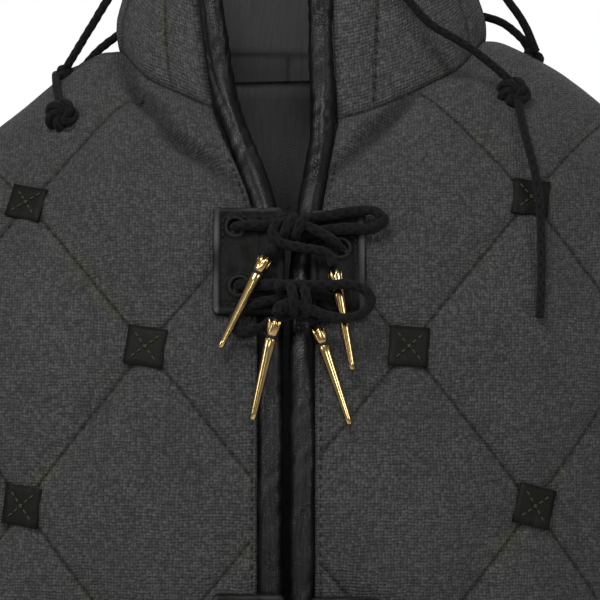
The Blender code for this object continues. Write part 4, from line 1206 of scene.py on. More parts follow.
@dataclass
class ShoulderCords:
    """The cords that tie the collar to eyelets on the shoulders."""

    form: CoatForm
    finish: Finishes
    radius: float = 1.9
    cords: dict = field(default_factory=lambda: {  # x, y, z of the middle of the cord
        "cord_left_front": (
            (-75.4, -34.0, 41.0), (-82.4, -33.0, 30.7), (-92.0, -29.0, 15.5), (-101.7, -22.0, 0.4),
        ),
        "cord_left_back": (
            (-72.0, 10.0, 23.0), (-77.5, 8.0, 18.0), (-88.4, 4.0, 9.0),
            (-95.0, 0.0, 1.5), (-101.0, -12.0, -2.0),
        ),
        "cord_right_front": (
            (43.6, -67.5, 41.0), (54.5, -68.0, 28.6), (64.5, -67.0, 17.8),
            (82.5, -62.5, 7.2), (98.0, -60.0, -5.0), (101.0, -59.0, -9.0),
        ),
        "cord_right_back": (
            (88.0, -20.0, 49.0), (101.3, -18.0, 31.6), (109.0, -14.0, 21.0), (115.0, -10.0, 8.0),
        ),
        "cord_right_loop": (
            (83.0, 14.0, 27.2), (90.7, 11.0, 25.6), (99.6, 6.0, 22.4),
            (105.9, 2.0, 17.5), (110.3, -2.0, 12.5), (112.4, -4.0, 7.0),
        ),
    })
    tail: tuple = (  # x, z and distance off the cloth
        (101.5, -19.5, 7.0), (104.5, -36.0, 7.2), (107.5, -50.0, 7.8), (109.6, -64.0, 8.0),
        (110.3, -80.0, 7.4), (110.4, -98.0, 6.6), (109.4, -116.0, 6.2),
    )
    knots: dict = field(default_factory=lambda: {  # x, y, z, radius
        "knot_left": (-102.4, -20.0, -3.4, 5.2),
        "knot_right_front": (102.4, -58.0, -13.6, 8.2),
        "knot_right_back": (113.6, -6.0, 4.8, 5.4),
    })
    eyelets: dict = field(default_factory=lambda: {  # x, z
        "eyelet_left": (-97.5, -29.0),
        "eyelet_right": (97.2, -21.5),
    })
    eyelet_knot: tuple = (-98.8, -27.8, 6.0, 8.2)  # x, z, distance off the cloth and radius
    left_end: tuple = (  # x, z and distance off the cloth, from the knot into its eyelet
        (-103.0, -9.0, 5.0), (-102.4, -15.0, 5.2), (-100.4, -22.0, 5.0),
        (-98.4, -26.5, 3.6), (-97.6, -28.6, 2.0),
    )
    rim_radius: float = 3.1
    hole_radii: tuple[float, float] = (1.6, 2.6)
    eyelet_parts: int = 48

    def round_cord(self, s: Points, phi: Points) -> Points:
        """A tight round plait."""
        plait = np.maximum(np.sin(3 * phi + s * 1.4), np.sin(3 * phi - s * 1.4))
        return self.radius * (1 + 0.05 * plait + 0.03 * ripple(s, phi * 2, 8.0))

    def wound(self, s: Points, phi: Points) -> Points:
        """The radius of a rim wound with thread."""
        return 0.85 + 0.12 * np.sin(s * 4.2)

    def cord(self, name: str, route: Points) -> tuple[Piece, Points]:
        """One cord on a smooth curve through its route, and the curve's points."""
        path = evenly(smooth_route(route, 12), 0.9)
        made = tube_piece(name, path, self.round_cord, 12, self.finish.cord)
        return made, path

    def knot(self, name: str, centre: Sequence[float], radius: float) -> Piece:
        """A tight lumpy knot: one cord wound through itself, flatter against the cloth."""
        size = radius - self.radius
        winds = 3 if radius > 7 else 2
        turn = np.linspace(0.0, winds * 2 * math.pi, 90 * winds)
        roll = turn * (winds + 2) / winds if winds == 3 else turn * 1.5
        spots = np.stack([
            size * (0.52 + 0.48 * np.cos(roll)) * np.cos(turn),
            size * 0.6 * np.sin(roll),
            size * (0.52 + 0.48 * np.cos(roll)) * np.sin(turn),
        ], 1) + np.array(centre)
        return tube_piece(name, evenly(spots, 0.7), self.round_cord, 12, self.finish.cord)

    def eyelet(self, name: str, x: float, z: float) -> None:
        """A worked eyelet: a rim of thread round a near-black disc, painted shade standing in for the hole.
        """
        count, rim = self.eyelet_parts, self.rim_radius
        turn = np.linspace(0.0, 2 * math.pi, count + 1)
        ring = self.form.front_point(x + rim * np.cos(turn), z + rim * np.sin(turn), np.full(count + 1, 2.4))
        made = tube_piece(f"{name}_rim", ring, self.wound, 8, self.finish.thread)
        turn, far = np.meshgrid(turn[:-1], self.hole_radii, indexing="ij")
        low = np.where(far > 2, 2.0, 1.6)
        disc = self.form.front_point(x + far * np.cos(turn), z + far * np.sin(turn), low)
        points = np.concatenate([self.form.front_spot(x, z, 1.9)[None], disc.reshape(-1, 3)])
        faces = []
        for k in range(count):
            n = (k + 1) % count
            faces += [(0, 1 + 2 * k, 1 + 2 * n), (1 + 2 * k, 2 + 2 * k, 2 + 2 * n, 1 + 2 * n)]
        new_piece(f"{name}_hole", points, faces, [self.finish.hole])

    def build(self) -> None:
        """Builds the cords, their knots and the free tail."""
        knots = {name: self.knot(name, spot[:3], spot[3]) for name, spot in self.knots.items()}
        for name, made in knots.items():
            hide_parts(name)
        x, z, off, radius = self.eyelet_knot
        self.knot("knot_left_eyelet", self.form.front_spot(x, z, off), radius)
        for name, rows in self.cords.items():
            made, _ = self.cord(name, np.array(rows))
            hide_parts(name)
        rough = self.form.front_point(*np.array(self.tail).T)
        made, path = self.cord("cord_right_tail", rough)
        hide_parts("cord_right_tail")
        length = distances(path)[-1] * MM
        for name, (x, z) in self.eyelets.items():
            self.eyelet(name, x, z)
        self.cord("cord_left_end", self.form.front_point(*np.array(self.left_end).T))


# Quilted cloth


@dataclass
class Stitches:
    """Sewing thread lying on a surface, gathered into one mesh."""

    length: float = 2.5
    pitch: float = 5.4
    width: float = 0.5
    spots: list = field(default_factory=list)

    def row(self, path: Points, out: Points) -> None:
        """Adds a row of stitches along a path, with the directions out of the cloth there."""
        far = distances(path)
        count = int((far[-1] - self.length) // self.pitch)
        for k in range(count + 1):
            first = k * self.pitch + 0.5 * (far[-1] - count * self.pitch - self.length)
            ends = points_at(path, far, np.array([first, first + self.length]))
            way = points_at(out, far, first)
            self.spots.append((ends[0], ends[1], way))

    def build(self, name: str, finish: Material) -> Piece | None:
        """Makes the mesh: each stitch a small spindle sunk at both ends."""
        if not self.spots:
            return None
        a, b, out = (np.array(x) for x in zip(*self.spots))
        out = unit(out)
        run = unit(b - a)
        across = np.cross(run, out)
        middle = (a + b) / 2 + out * self.width * 0.55
        rings = []
        for share in (-0.28, 0.28):
            base = middle + run * self.length * share
            rings += [base + across * self.width, base + out * self.width * 0.8,
                      base - across * self.width, base - out * self.width * 0.8]
        points = np.stack([a - out * self.width, b - out * self.width, *rings], 1)
        pattern = []
        for k in range(4):
            n = (k + 1) % 4
            pattern += [(0, 2 + n, 2 + k), (1, 6 + k, 6 + n), (2 + k, 2 + n, 6 + n), (2 + k, 6 + n, 6 + k)]
        faces = (np.arange(len(points))[:, None, None] * points.shape[1] + np.array(pattern)).reshape(-1, 3)
        return new_piece(name, points.reshape(-1, 3), faces, [finish])


@dataclass(frozen=True)
class Crease:
    """One soft trough or ridge in a panel's cut: where it runs, its depth, half width and fade."""

    q0: float
    t0: float
    q1: float
    t1: float
    depth: float
    reach: float
    wave: float = 0.025

    def lift(self, q: Points, t: Points) -> Points:
        """How far it moves the cloth out at each place."""
        run = np.array([self.q1 - self.q0, self.t1 - self.t0])
        long = float(np.hypot(*run))
        way = run / long
        along = (q - self.q0) * way[0] + (t - self.t0) * way[1]
        off = (q - self.q0) * -way[1] + (t - self.t0) * way[0]
        off = off + self.wave * long * np.sin(along / long * 4.0 + self.q0)
        fade = np.sin(np.clip(along / long, 0, 1) * math.pi) ** 0.7
        return self.depth * np.exp(-(off / self.reach) ** 2) * fade


def seen_crease(form: CoatForm, x0: float, z0: float, x1: float, z1: float,
                depth: float, reach: float) -> Crease:
    """A crease of the front given where it is seen."""
    q, t = form.cut_place(np.array([x0, x1]), np.array([z0, z1]))
    return Crease(float(q[0]), float(t[0]), float(q[1]), float(t[1]), depth, reach)


@dataclass
class QuiltedPanel:
    """One quilted panel of the body: a padded canvas wall with a plain lining inside."""

    form: CoatForm
    finish: Finishes
    name: str
    side: Side
    outline: Points
    start: tuple[float, float]
    flat_size: tuple[float, float]
    creases: tuple[Crease, ...] = ()
    dropped: tuple[tuple[int, int, int], ...] = ()
    drawn: tuple = ()
    bare: tuple = ()
    step: float = 5.2
    fine_step: float = 2.3
    fine_area: tuple[float, float, float] = (132.0, -262.0, 60.0)
    margin: float = 2.5
    roll: float = 1.5
    lining_roll: float = 0.3
    deepest: float = 7.0
    spare: float = 2.6  # how far a fold sinks before it pushes the lining in
    full_shade: float = 6.0  # how deep a fold is fully shaded

    def lines(self) -> Segments:
        """The stitched lines, each from one crossing to the next or to the panel's edge."""
        half, start = np.array(self.form.quilt_half), np.array(self.start)
        low = np.floor((self.outline.min(0) - start) / half).astype(int) - 1
        high = np.ceil((self.outline.max(0) - start) / half).astype(int) + 1
        made = [(np.array(a, float), np.array(b, float)) for a, b in self.drawn]
        for i in range(low[0], high[0] + 1):
            for j in range(low[1], high[1] + 1):
                if (i + j) % 2:
                    continue
                for turn in (1, -1):
                    if (i, j, turn) in self.dropped:
                        continue
                    a = start + np.array([i, j]) * half
                    made.append((a, a + np.array([turn, 1]) * half))
        kept = []
        for a, b in made:
            trail = a + np.linspace(0, 1, 80)[:, None] * (b - a)
            clear = edge_distance(trail, self.outline) > self.margin
            if clear.any():
                run = trail[clear]
                if np.linalg.norm(run[-1] - run[0]) > 8.0:
                    kept.append((run[0], run[-1]))
        return kept

    def crossings(self) -> list[Points]:
        """The crossings that carry a leather square."""
        half, start = np.array(self.form.quilt_half), np.array(self.start)
        places = [(i, j) for i in range(-8, 9) for j in range(-12, 6) if (i + j) % 2 == 0]
        spots = start + np.array(places) * half
        far = edge_distance(spots, self.outline)
        kept = [s for s, d in zip(spots, far) if d > 20.0]
        return [s for s in kept if all(np.hypot(*(s - np.array(b))) > 5.0 for b in self.bare)]

    def relief(self, q: Points, t: Points, line: Points, edge: Points) -> Points:
        """How far the canvas stands out of the stitched surface."""
        puff = self.form.padding * (1 - np.exp(-line / 8.5))
        pucker = 0.30 * np.sin(ripple(q, t, 31.0) * 5.0 + (q + t) * 0.62) * np.exp(-line / 5.0)
        lift = (puff + pucker) * (1 - np.exp(-np.maximum(edge, 0.0) / 8.0))
        lift = lift + 0.45 * ripple(q, t, 62.0, 1.3) * np.clip(edge / 20.0, 0, 1)
        return lift + self.folded(q, t) * np.clip(edge / 10.0, 0, 1)

    def folded(self, q: Points, t: Points) -> Points:
        """How far the soft folds raise or sink the canvas."""
        lift = sum((crease.lift(q, t) for crease in self.creases), np.zeros(np.shape(q)))
        return np.maximum(lift, -self.deepest)

    def grid(self, step: float, fine: bool) -> Points:
        """A net's free points: a close grid near the neck of a front, and a wider one elsewhere."""
        wide, low, high = self.fine_area
        q0, t0 = self.outline.min(0)
        q1, t1 = self.outline.max(0)
        rows = []
        for k, t in enumerate(np.arange(t0, t1, step * 0.87)):
            across = np.arange(q0 + (k % 2) * step / 2, q1, step)
            rows.append(np.stack([across, np.full(len(across), t)], 1))
        grid = np.concatenate(rows)
        inside = (np.abs(grid[:, 0]) < wide) & (grid[:, 1] > low) & (grid[:, 1] < high)
        return grid[(inside & (self.side is Side.FRONT)) == fine]

    def net(self, lines: Segments) -> tuple[Points, Points]:
        """Triangulates the cut finely, with its stitched lines and rolled edges."""
        closed = np.concatenate([self.outline, self.outline[:1]])
        ring = evenly(closed, 3.0)[:-1]
        spots, edges = [tuple(p) for p in ring], loop_edges(0, len(ring))
        run = np.roll(ring, -1, axis=0) - np.roll(ring, 1, axis=0)
        area = np.sum(ring[:, 0] * np.roll(ring[:, 1], -1) - np.roll(ring[:, 0], -1) * ring[:, 1])
        inward = unit(np.stack([-run[:, 1], run[:, 0]], 1)) * np.sign(area)
        for far in (0.5, 1.3, 2.4):
            inner = ring + inward * far
            spots += [tuple(p) for p, d in zip(inner, edge_distance(inner, ring)) if d > 0.8 * far]
        for a, b in lines:
            trail = evenly(np.array([a, b]), 2.6)
            first = len(spots)
            spots += [tuple(p) for p in trail]
            edges += [(first + k, first + k + 1) for k in range(len(trail) - 1)]
        starts, ends = np.array([a for a, _ in lines]), np.array([b for _, b in lines])
        for step, fine in ((self.step, False), (self.fine_step, True)):
            grid = self.grid(step, fine)
            if len(grid):
                clear = edge_distance(grid, ring) > 2.4 + step * 0.45
                clear &= segment_distance(grid, starts, ends) > step * 0.4
                spots += [tuple(p) for p in grid[clear]]
        flat, faces = triangulate(spots, edges)
        return flat, faces[edge_distance(flat[faces].mean(1), ring) > 0]

    def surface(self, flat: Points, lift: Points) -> tuple[Points, Points]:
        """Points on the canvas and the directions out of it."""
        place = self.form.placer(self.side)
        base = place(*flat.T)
        out = normals(place, *flat.T) * -self.side.value
        return base + out * lift[:, None], out

    def build(self) -> None:
        """Builds the panel and its stitches."""
        lines = self.lines()
        starts, ends = np.array([a for a, _ in lines]), np.array([b for _, b in lines])
        flat, faces = self.net(lines)
        line, edge = segment_distance(flat, starts, ends), edge_distance(flat, self.outline)
        lift = self.relief(*flat.T, line, edge)
        turn = np.clip(1 - edge / self.roll, 0, 1)
        tuck = self.roll * (1 - np.sqrt(np.clip(1 - turn**2, 0, 1)))
        outer, out = self.surface(flat, lift - tuck)
        seam = 0.9 * np.exp(-(flat[:, 0] / 2.2) ** 2) if self.side is Side.BACK else 0.0
        inner, _ = self.surface(flat, -self.form.wall + tuck * self.lining_roll / self.roll + seam)
        hidden = np.abs(flat[:, 0]) if self.side is Side.BACK else np.full(len(flat), 30.0)
        pushed = np.maximum(-self.folded(*flat.T) - self.spare, 0.0)
        self.make_wall(flat, faces, outer, inner - out * pushed[:, None], (line, hidden), out)
        stitches = Stitches()
        for a, b in lines:
            trail = evenly(np.array([a, b]), 4.0)
            near = edge_distance(trail, self.outline)
            stitches.row(*self.surface(trail, self.relief(*trail.T, np.zeros(len(trail)), near)))
        made = stitches.build(f"{self.name}_stitches", self.finish.thread)
        LOG.info("%s has %d crossings", made.name, len(self.crossings()))

    def make_wall(self, flat: Points, faces: Points, outer: Points, inner: Points,
                  lines: tuple[Points, Points], out: Points) -> None:
        """Closes the two skins and dresses them, given the distances to the seams of each."""
        a, b, c = outer[faces].transpose(1, 0, 2)
        if (np.cross(b - a, c - a) * out[faces[:, 0]]).sum() < 0:
            faces = faces[:, ::-1]
        used, points, every = triangle_shell(faces, outer, inner)
        slots = np.zeros(len(every), np.int32)
        slots[len(faces):2 * len(faces)] = 1
        made = new_piece(self.name, points, every, [self.finish.canvas, self.finish.lining], slots)
        write_uv(made, np.concatenate([flat[used], flat[used]]) * MM)
        write_value(made, "line", np.concatenate([lines[0][used], lines[1][used]]))
        # Painted shade for the folds, full where a fold sinks as deep as full_shade.
        painted_fold_shade = np.clip(-self.folded(flat[used, 0], flat[used, 1]) / self.full_shade, 0, 1)
        write_value(made, "painted_fold_shade", np.concatenate([painted_fold_shade, np.zeros(len(used))]))
        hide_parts(self.name)
        ring = self.outline
        area = abs(np.sum(ring[:, 0] * np.roll(ring[:, 1], -1) - np.roll(ring[:, 0], -1) * ring[:, 1])) / 2


@dataclass
class QuiltedSleeve:
    """A quilted sleeve, a tube from the armhole to the cuff."""

    form: CoatForm
    finish: Finishes
    hand: Hand
    rows: tuple = (  # outer_x, outer_z, inner_x, inner_z, half_depth, middle_y
        (192.0, -56.0, 200.5, -215.0, 66.0, 0.0),
        (234.0, -74.0, 205.0, -221.0, 72.0, 0.0),
        (272.0, -104.0, 209.0, -228.0, 70.0, 0.0),
        (300.0, -150.0, 213.0, -240.0, 68.0, 0.0),
        (318.0, -212.0, 217.0, -262.0, 66.0, 0.0),
        (330.0, -292.0, 223.0, -322.0, 64.0, 0.0),
        (338.0, -378.0, 234.0, -400.0, 60.0, -3.0),
        (345.0, -465.0, 250.0, -482.0, 54.0, -10.0),
        (352.0, -552.0, 266.0, -565.0, 48.0, -18.0),
        (358.0, -634.0, 280.0, -644.0, 43.0, -27.0),
    )
    blend: float = 150.0
    quilts_round: int = 4
    around: int = 176
    along: int = 190
    creases: tuple[Crease, ...] = (
        Crease(60.0, 250.0, 190.0, 285.0, -2.2, 9.0),
        Crease(90.0, 300.0, 210.0, 318.0, 1.8, 8.0),
        Crease(30.0, 330.0, 160.0, 300.0, -1.9, 9.0),
        Crease(290.0, 262.0, 420.0, 292.0, -1.8, 10.0),
        Crease(300.0, 330.0, 400.0, 318.0, 1.4, 8.0),
        Crease(20.0, 120.0, 120.0, 60.0, -2.4, 11.0),
        Crease(350.0, 70.0, 450.0, 140.0, -2.0, 11.0),
        Crease(150.0, 470.0, 300.0, 452.0, -1.5, 9.0),
    )

    @property
    def girth(self) -> float:
        """The sleeve's cut, all round."""
        return self.form.quilt_half[0] * 2 * self.quilts_round

    def surface(self) -> tuple[Place, float]:
        """The sleeve's surface as a function of its cut, q round it and t along it, and its length."""
        rows = np.array(self.rows)
        middles = (rows[:, :2] + rows[:, 2:4]) / 2
        far = distances(middles)
        table = [(a, *r) for a, r in zip(far, rows)]
        sign = self.hand.value
        loops = {}
        for side in Side:
            rim = self.form.armhole(side, 48, self.hand)
            loops[side] = self.form.body(rim[:, 0], rim[:, 1], side) * np.array([sign, 1, 1])

        def oval(row: Points, turn: Points) -> Points:
            """A plain oval ring of the sleeve."""
            angle = turn * 2 * math.pi
            swing = -np.cos(angle)[..., None]
            spot = (row[..., 0:2] + row[..., 2:4]) / 2 + swing * (row[..., 0:2] - row[..., 2:4]) / 2
            return np.stack([spot[..., 0], row[..., 5] - row[..., 4] * np.sin(angle), spot[..., 1]], -1)

        def place(q: Points, t: Points) -> Points:
            """A point of the sleeve."""
            turn, t = np.broadcast_arrays(np.asarray(q, float) / self.girth, np.asarray(t, float))
            ring = oval(smooth_rows(table, t), turn)
            share = np.mod(turn, 1.0) * 2
            seam = np.empty_like(ring)
            grid = np.linspace(0, 1, 49)
            for side in Side:
                at = share if side is Side.FRONT else 2 - share
                loop = points_at(loops[side], grid, at)
                seam = np.where(((share <= 1) == (side is Side.FRONT))[..., None], loop, seam)
            start = oval(np.broadcast_to(rows[0], ring.shape[:-1] + (6,)), turn)
            fade = np.clip(1 - t / self.blend, 0, 1)[..., None] ** 2
            point = ring + fade * (seam - start)
            point[..., 0] += self.form.seam_gap
            return point * np.array([sign, 1, 1])

        return place, float(far[-1])

    def line_distance(self, q: Points, t: Points, length: float) -> Points:
        """Distance to the nearest stitched line of the cut."""
        half = self.form.quilt_half
        a = ((q - self.girth / 2) / half[0] + (t - length / 2) / half[1]) / 2
        b = ((q - self.girth / 2) / half[0] - (t - length / 2) / half[1]) / 2
        slope = math.hypot(1 / half[0], 1 / half[1]) / 2
        return np.minimum(np.abs(a - np.round(a)), np.abs(b - np.round(b))) / slope

    def relief(self, q: Points, t: Points, line: Points, length: float) -> Points:
        """How far the canvas stands out of the stitched surface."""
        edge = np.minimum(t, length - t)
        lift = self.form.padding * (1 - np.exp(-line / 8.5))
        lift = lift + 0.30 * np.sin((q + t) * 0.62 + ripple(q, t, 31.0) * 5.0) * np.exp(-line / 5.0)
        lift = lift * (1 - np.exp(-edge / 8.0)) + 0.4 * ripple(q, t, 62.0, 2.2)
        for crease in self.creases:
            lift = lift + crease.lift(q, t)
        seam = np.minimum(q, self.girth - q)
        return lift * (1 - 0.95 * np.exp(-(seam / 3.2) ** 2)) * np.clip(edge / 8.0, 0, 1)

    def outward(self, at: Place, q: Points, t: Points, base: Points) -> Points:
        """Directions out of the sleeve, square to the body at the armhole."""
        out = normals(at, q, t)
        centre = np.array([self.hand.value * 196.0, 0.0, -136.0])
        radial = unit((base - centre) * np.array([0.0, 1.0, 1.0]))
        flip = 1.0 if ((out * (base - base.mean(0))).sum(-1) > 0).mean() > 0.5 else -1.0
        share = np.clip(1 - t / 9.0, 0, 1)[..., None]
        return unit(out * flip * (1 - share) + radial * share)

    def build(self) -> None:
        """Builds the sleeve and its stitches."""
        name = f"sleeve_{self.hand.name.lower()}"
        at, length = self.surface()
        q = np.arange(self.around) * self.girth / self.around
        ends = np.array([0.0, 0.6, 1.5, 2.6])
        t = np.concatenate([ends, np.linspace(5.0, length - 5.0, self.along), length - ends[::-1]])
        q, t = np.meshgrid(q, t, indexing="ij")
        line = self.line_distance(q, t, length)
        base = at(q, t)
        out = self.outward(at, q, t, base)
        edge = np.minimum(t, length - t)
        turn = np.clip(1 - edge / 2.4, 0, 1)
        tuck = 2.4 * (1 - np.sqrt(np.clip(1 - turn**2, 0, 1)))
        outer = base + out * (self.relief(q, t, line, length) - tuck)[..., None]
        inner = base - out * (self.form.wall - tuck)[..., None]
        look = np.cross(outer[1, 60] - outer[0, 60], outer[0, 61] - outer[0, 60])
        if look @ out[0, 60] < 0:
            outer, inner, q, t, line = (x[::-1] for x in (outer, inner, q, t, line))
        made = grid_shell(name, outer, inner, [self.finish.canvas, self.finish.lining], tube=True)
        flat = np.stack([q.ravel(), t.ravel()], 1) * MM
        write_uv(made, np.concatenate([flat, flat]))
        write_value(made, "line", np.concatenate([line.ravel(), np.full(line.size, 30.0)]))
        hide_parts(name)
        self.sew(name, at, length)

    def sew(self, name: str, at: Place, length: float) -> None:
        """Adds the quilting stitches."""
        stitches = Stitches()
        half = np.array(self.form.quilt_half)
        start = np.array([self.girth / 2, length / 2])
        for i in range(-5, 6):
            for j in range(-6, 7):
                if (i + j) % 2:
                    continue
                for turn in (1, -1):
                    a = start + np.array([i, j]) * half
                    trail = a + np.linspace(0, 1, 24)[:, None] * np.array([turn, 1]) * half
                    keep = (trail[:, 1] > 4.0) & (trail[:, 1] < length - 4.0)
                    trail = trail[keep & (trail[:, 0] > 0) & (trail[:, 0] < self.girth)]
                    if len(trail) < 4:
                        continue
                    base = at(*trail.T)
                    out = self.outward(at, *trail.T, base)
                    centre = sum(at(self.girth * share, trail[:, 1]) / 2 for share in (0.25, 0.75))
                    out = out * np.sign((out * (base - centre)).sum(-1, keepdims=True))
                    lift = self.relief(*trail.T, np.zeros(len(trail)), length)
                    stitches.row(base + out * lift[:, None], out)
        stitches.build(f"{name}_stitches", self.finish.thread)


@dataclass
class StandCollar:
    """The padded stand collar, sewn in upright channels."""

    form: CoatForm
    finish: Finishes
    channels: int = 9
    padding: float = 2.6
    around: int = 440
    up: int = 44
    size: tuple[float, float] = (430.0, 62.0)
    first_line: tuple[float, float] = (0.036, 0.061)
    last_line: tuple[float, float] = (0.952, 0.952)
    tuck_in: float = 0.012
    foot_drop: float = 6.5
    foot_out: float = 1.6
    seam_height: float = 9.2

    def surface(self) -> Place:
        """The collar as a function of the turn, from its right front end, and the height's share."""
        wide, middle, deep, back = self.form.collar_top

        def edge(hand: Hand, share: Points) -> Points:
            """The angle of one front end."""
            low = self.form.seam_angle(hand)
            x = self.form.top_edge(hand) + hand.value * (self.form.binding_half + self.form.seam_gap)
            return low + (math.asin((x - middle) / wide) - low) * share

        def place(turn: Points, share: Points) -> Points:
            """A point of the collar."""
            turn, share = np.broadcast_arrays(np.asarray(turn, float), np.asarray(share, float))
            first, last = edge(Hand.RIGHT, share), edge(Hand.LEFT, share) + 2 * math.pi
            angle = first + (last - first) * turn
            foot = self.form.neck_seam(angle)
            front = np.maximum(np.cos(angle), 0.0) ** 2
            top = self.form.collar_side_top - (self.form.collar_side_top - self.form.collar_front_top) * front
            head = np.stack([middle + wide * np.sin(angle), back - deep * np.cos(angle), top], -1)
            point = foot + (head - foot) * share[..., None]
            point[..., 2] += self.form.seam_gap
            return self.form.settle(point)

        return place

    def outward(self, place: Place, turn: Points, share: Points) -> Points:
        """Level directions out of the collar."""
        step = 0.004
        across = place(turn + step, share) - place(turn - step, share)
        along = place(turn, np.ones_like(share)) - place(turn, np.zeros_like(share))
        out = np.cross(across, along)
        out[..., 2] = 0.0
        return unit(out)

    def build(self) -> None:
        """Builds the collar and its stitches."""
        place = self.surface()
        ends = np.array([0.0, 0.0012, 0.003, 0.006])
        turn = np.concatenate([ends, np.linspace(0.01, 0.99, self.around), 1 - ends[::-1]])
        rim = np.array([0.0, 0.012, 0.03, 0.055])
        share = np.concatenate([[-self.tuck_in], rim, np.linspace(0.08, 0.92, self.up), 1 - rim[::-1]])
        a, b = np.meshgrid(turn, share, indexing="ij")
        base, out = place(a, b), self.outward(place, a, b)
        wide, tall = self.size
        line = np.full(a.shape, 30.0)
        for low, high in self.seams():
            line = np.minimum(line, np.abs(a - low - (high - low) * b) * wide)
        edge = np.minimum(np.minimum(b + 0.02, 1 - b) * tall, np.minimum(a, 1 - a) * wide).clip(0.0)
        lift = self.padding * (1 - np.exp(-line / 6.0))
        lift += 0.28 * np.sin(b * tall * 0.9 + ripple(a * wide, b * tall, 30.0) * 4) * np.exp(-line / 5.0)
        lift = lift * (1 - np.exp(-edge / 5.0))
        lift += 0.7 * ripple(a * wide, b * tall, 52.0, 0.4) * np.clip(edge / 9.0, 0, 1)
        fold = np.clip(1 - np.minimum((1 - b) * tall, np.minimum(a, 1 - a) * wide) / 2.0, 0, 1)
        tuck = 2.0 * (1 - np.sqrt(np.clip(1 - fold**2, 0, 1)))
        outer = base + out * (lift - tuck)[..., None]
        seam = self.lining_seam(base)
        inner = base - out * (self.form.wall - tuck - 0.7 * np.exp(-(seam / 1.3) ** 2))[..., None]
        low = 1 - ease(b * tall, -1.0, 7.0)
        inner[..., 2] -= self.foot_drop * low
        inner += out * (self.foot_out * low)[..., None]
        made = grid_shell("collar", outer, inner, [self.finish.collar, self.finish.facing], tube=False)
        flat = np.stack([a.ravel() * wide, b.ravel() * tall], 1) * MM
        write_uv(made, np.concatenate([flat, flat]))
        shaded = np.minimum(line, np.maximum(b, 0.0) * tall)
        write_value(made, "line", np.concatenate([shaded.ravel(), seam.ravel()]))
        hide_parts("collar")
        stitches = Stitches()
        for low, high in self.seams():
            b = np.linspace(0.03, 0.97, 30)
            a = low + (high - low) * b
            stitches.row(place(a, b), self.outward(place, a, b))
        stitches.build("collar_stitches", self.finish.thread)

    def seams(self) -> list[tuple[float, float]]:
        """The turn of each upright line at the foot and at the top."""
        between = np.linspace(self.first_line[1], self.last_line[1], self.channels)
        rows = [(float(at), float(at)) for at in between]
        return [self.first_line, *rows[1:-1], self.last_line]

    def lining_seam(self, spots: Points) -> Points:
        """Distance to the lining's seams: one level round the back, one upright below it."""
        level = np.abs(spots[..., 2] - self.seam_height)
        upright = np.where(spots[..., 2] < self.seam_height, np.abs(spots[..., 0]), 30.0)
        return np.where(spots[..., 1] > 0.0, np.minimum(level, upright), 30.0)


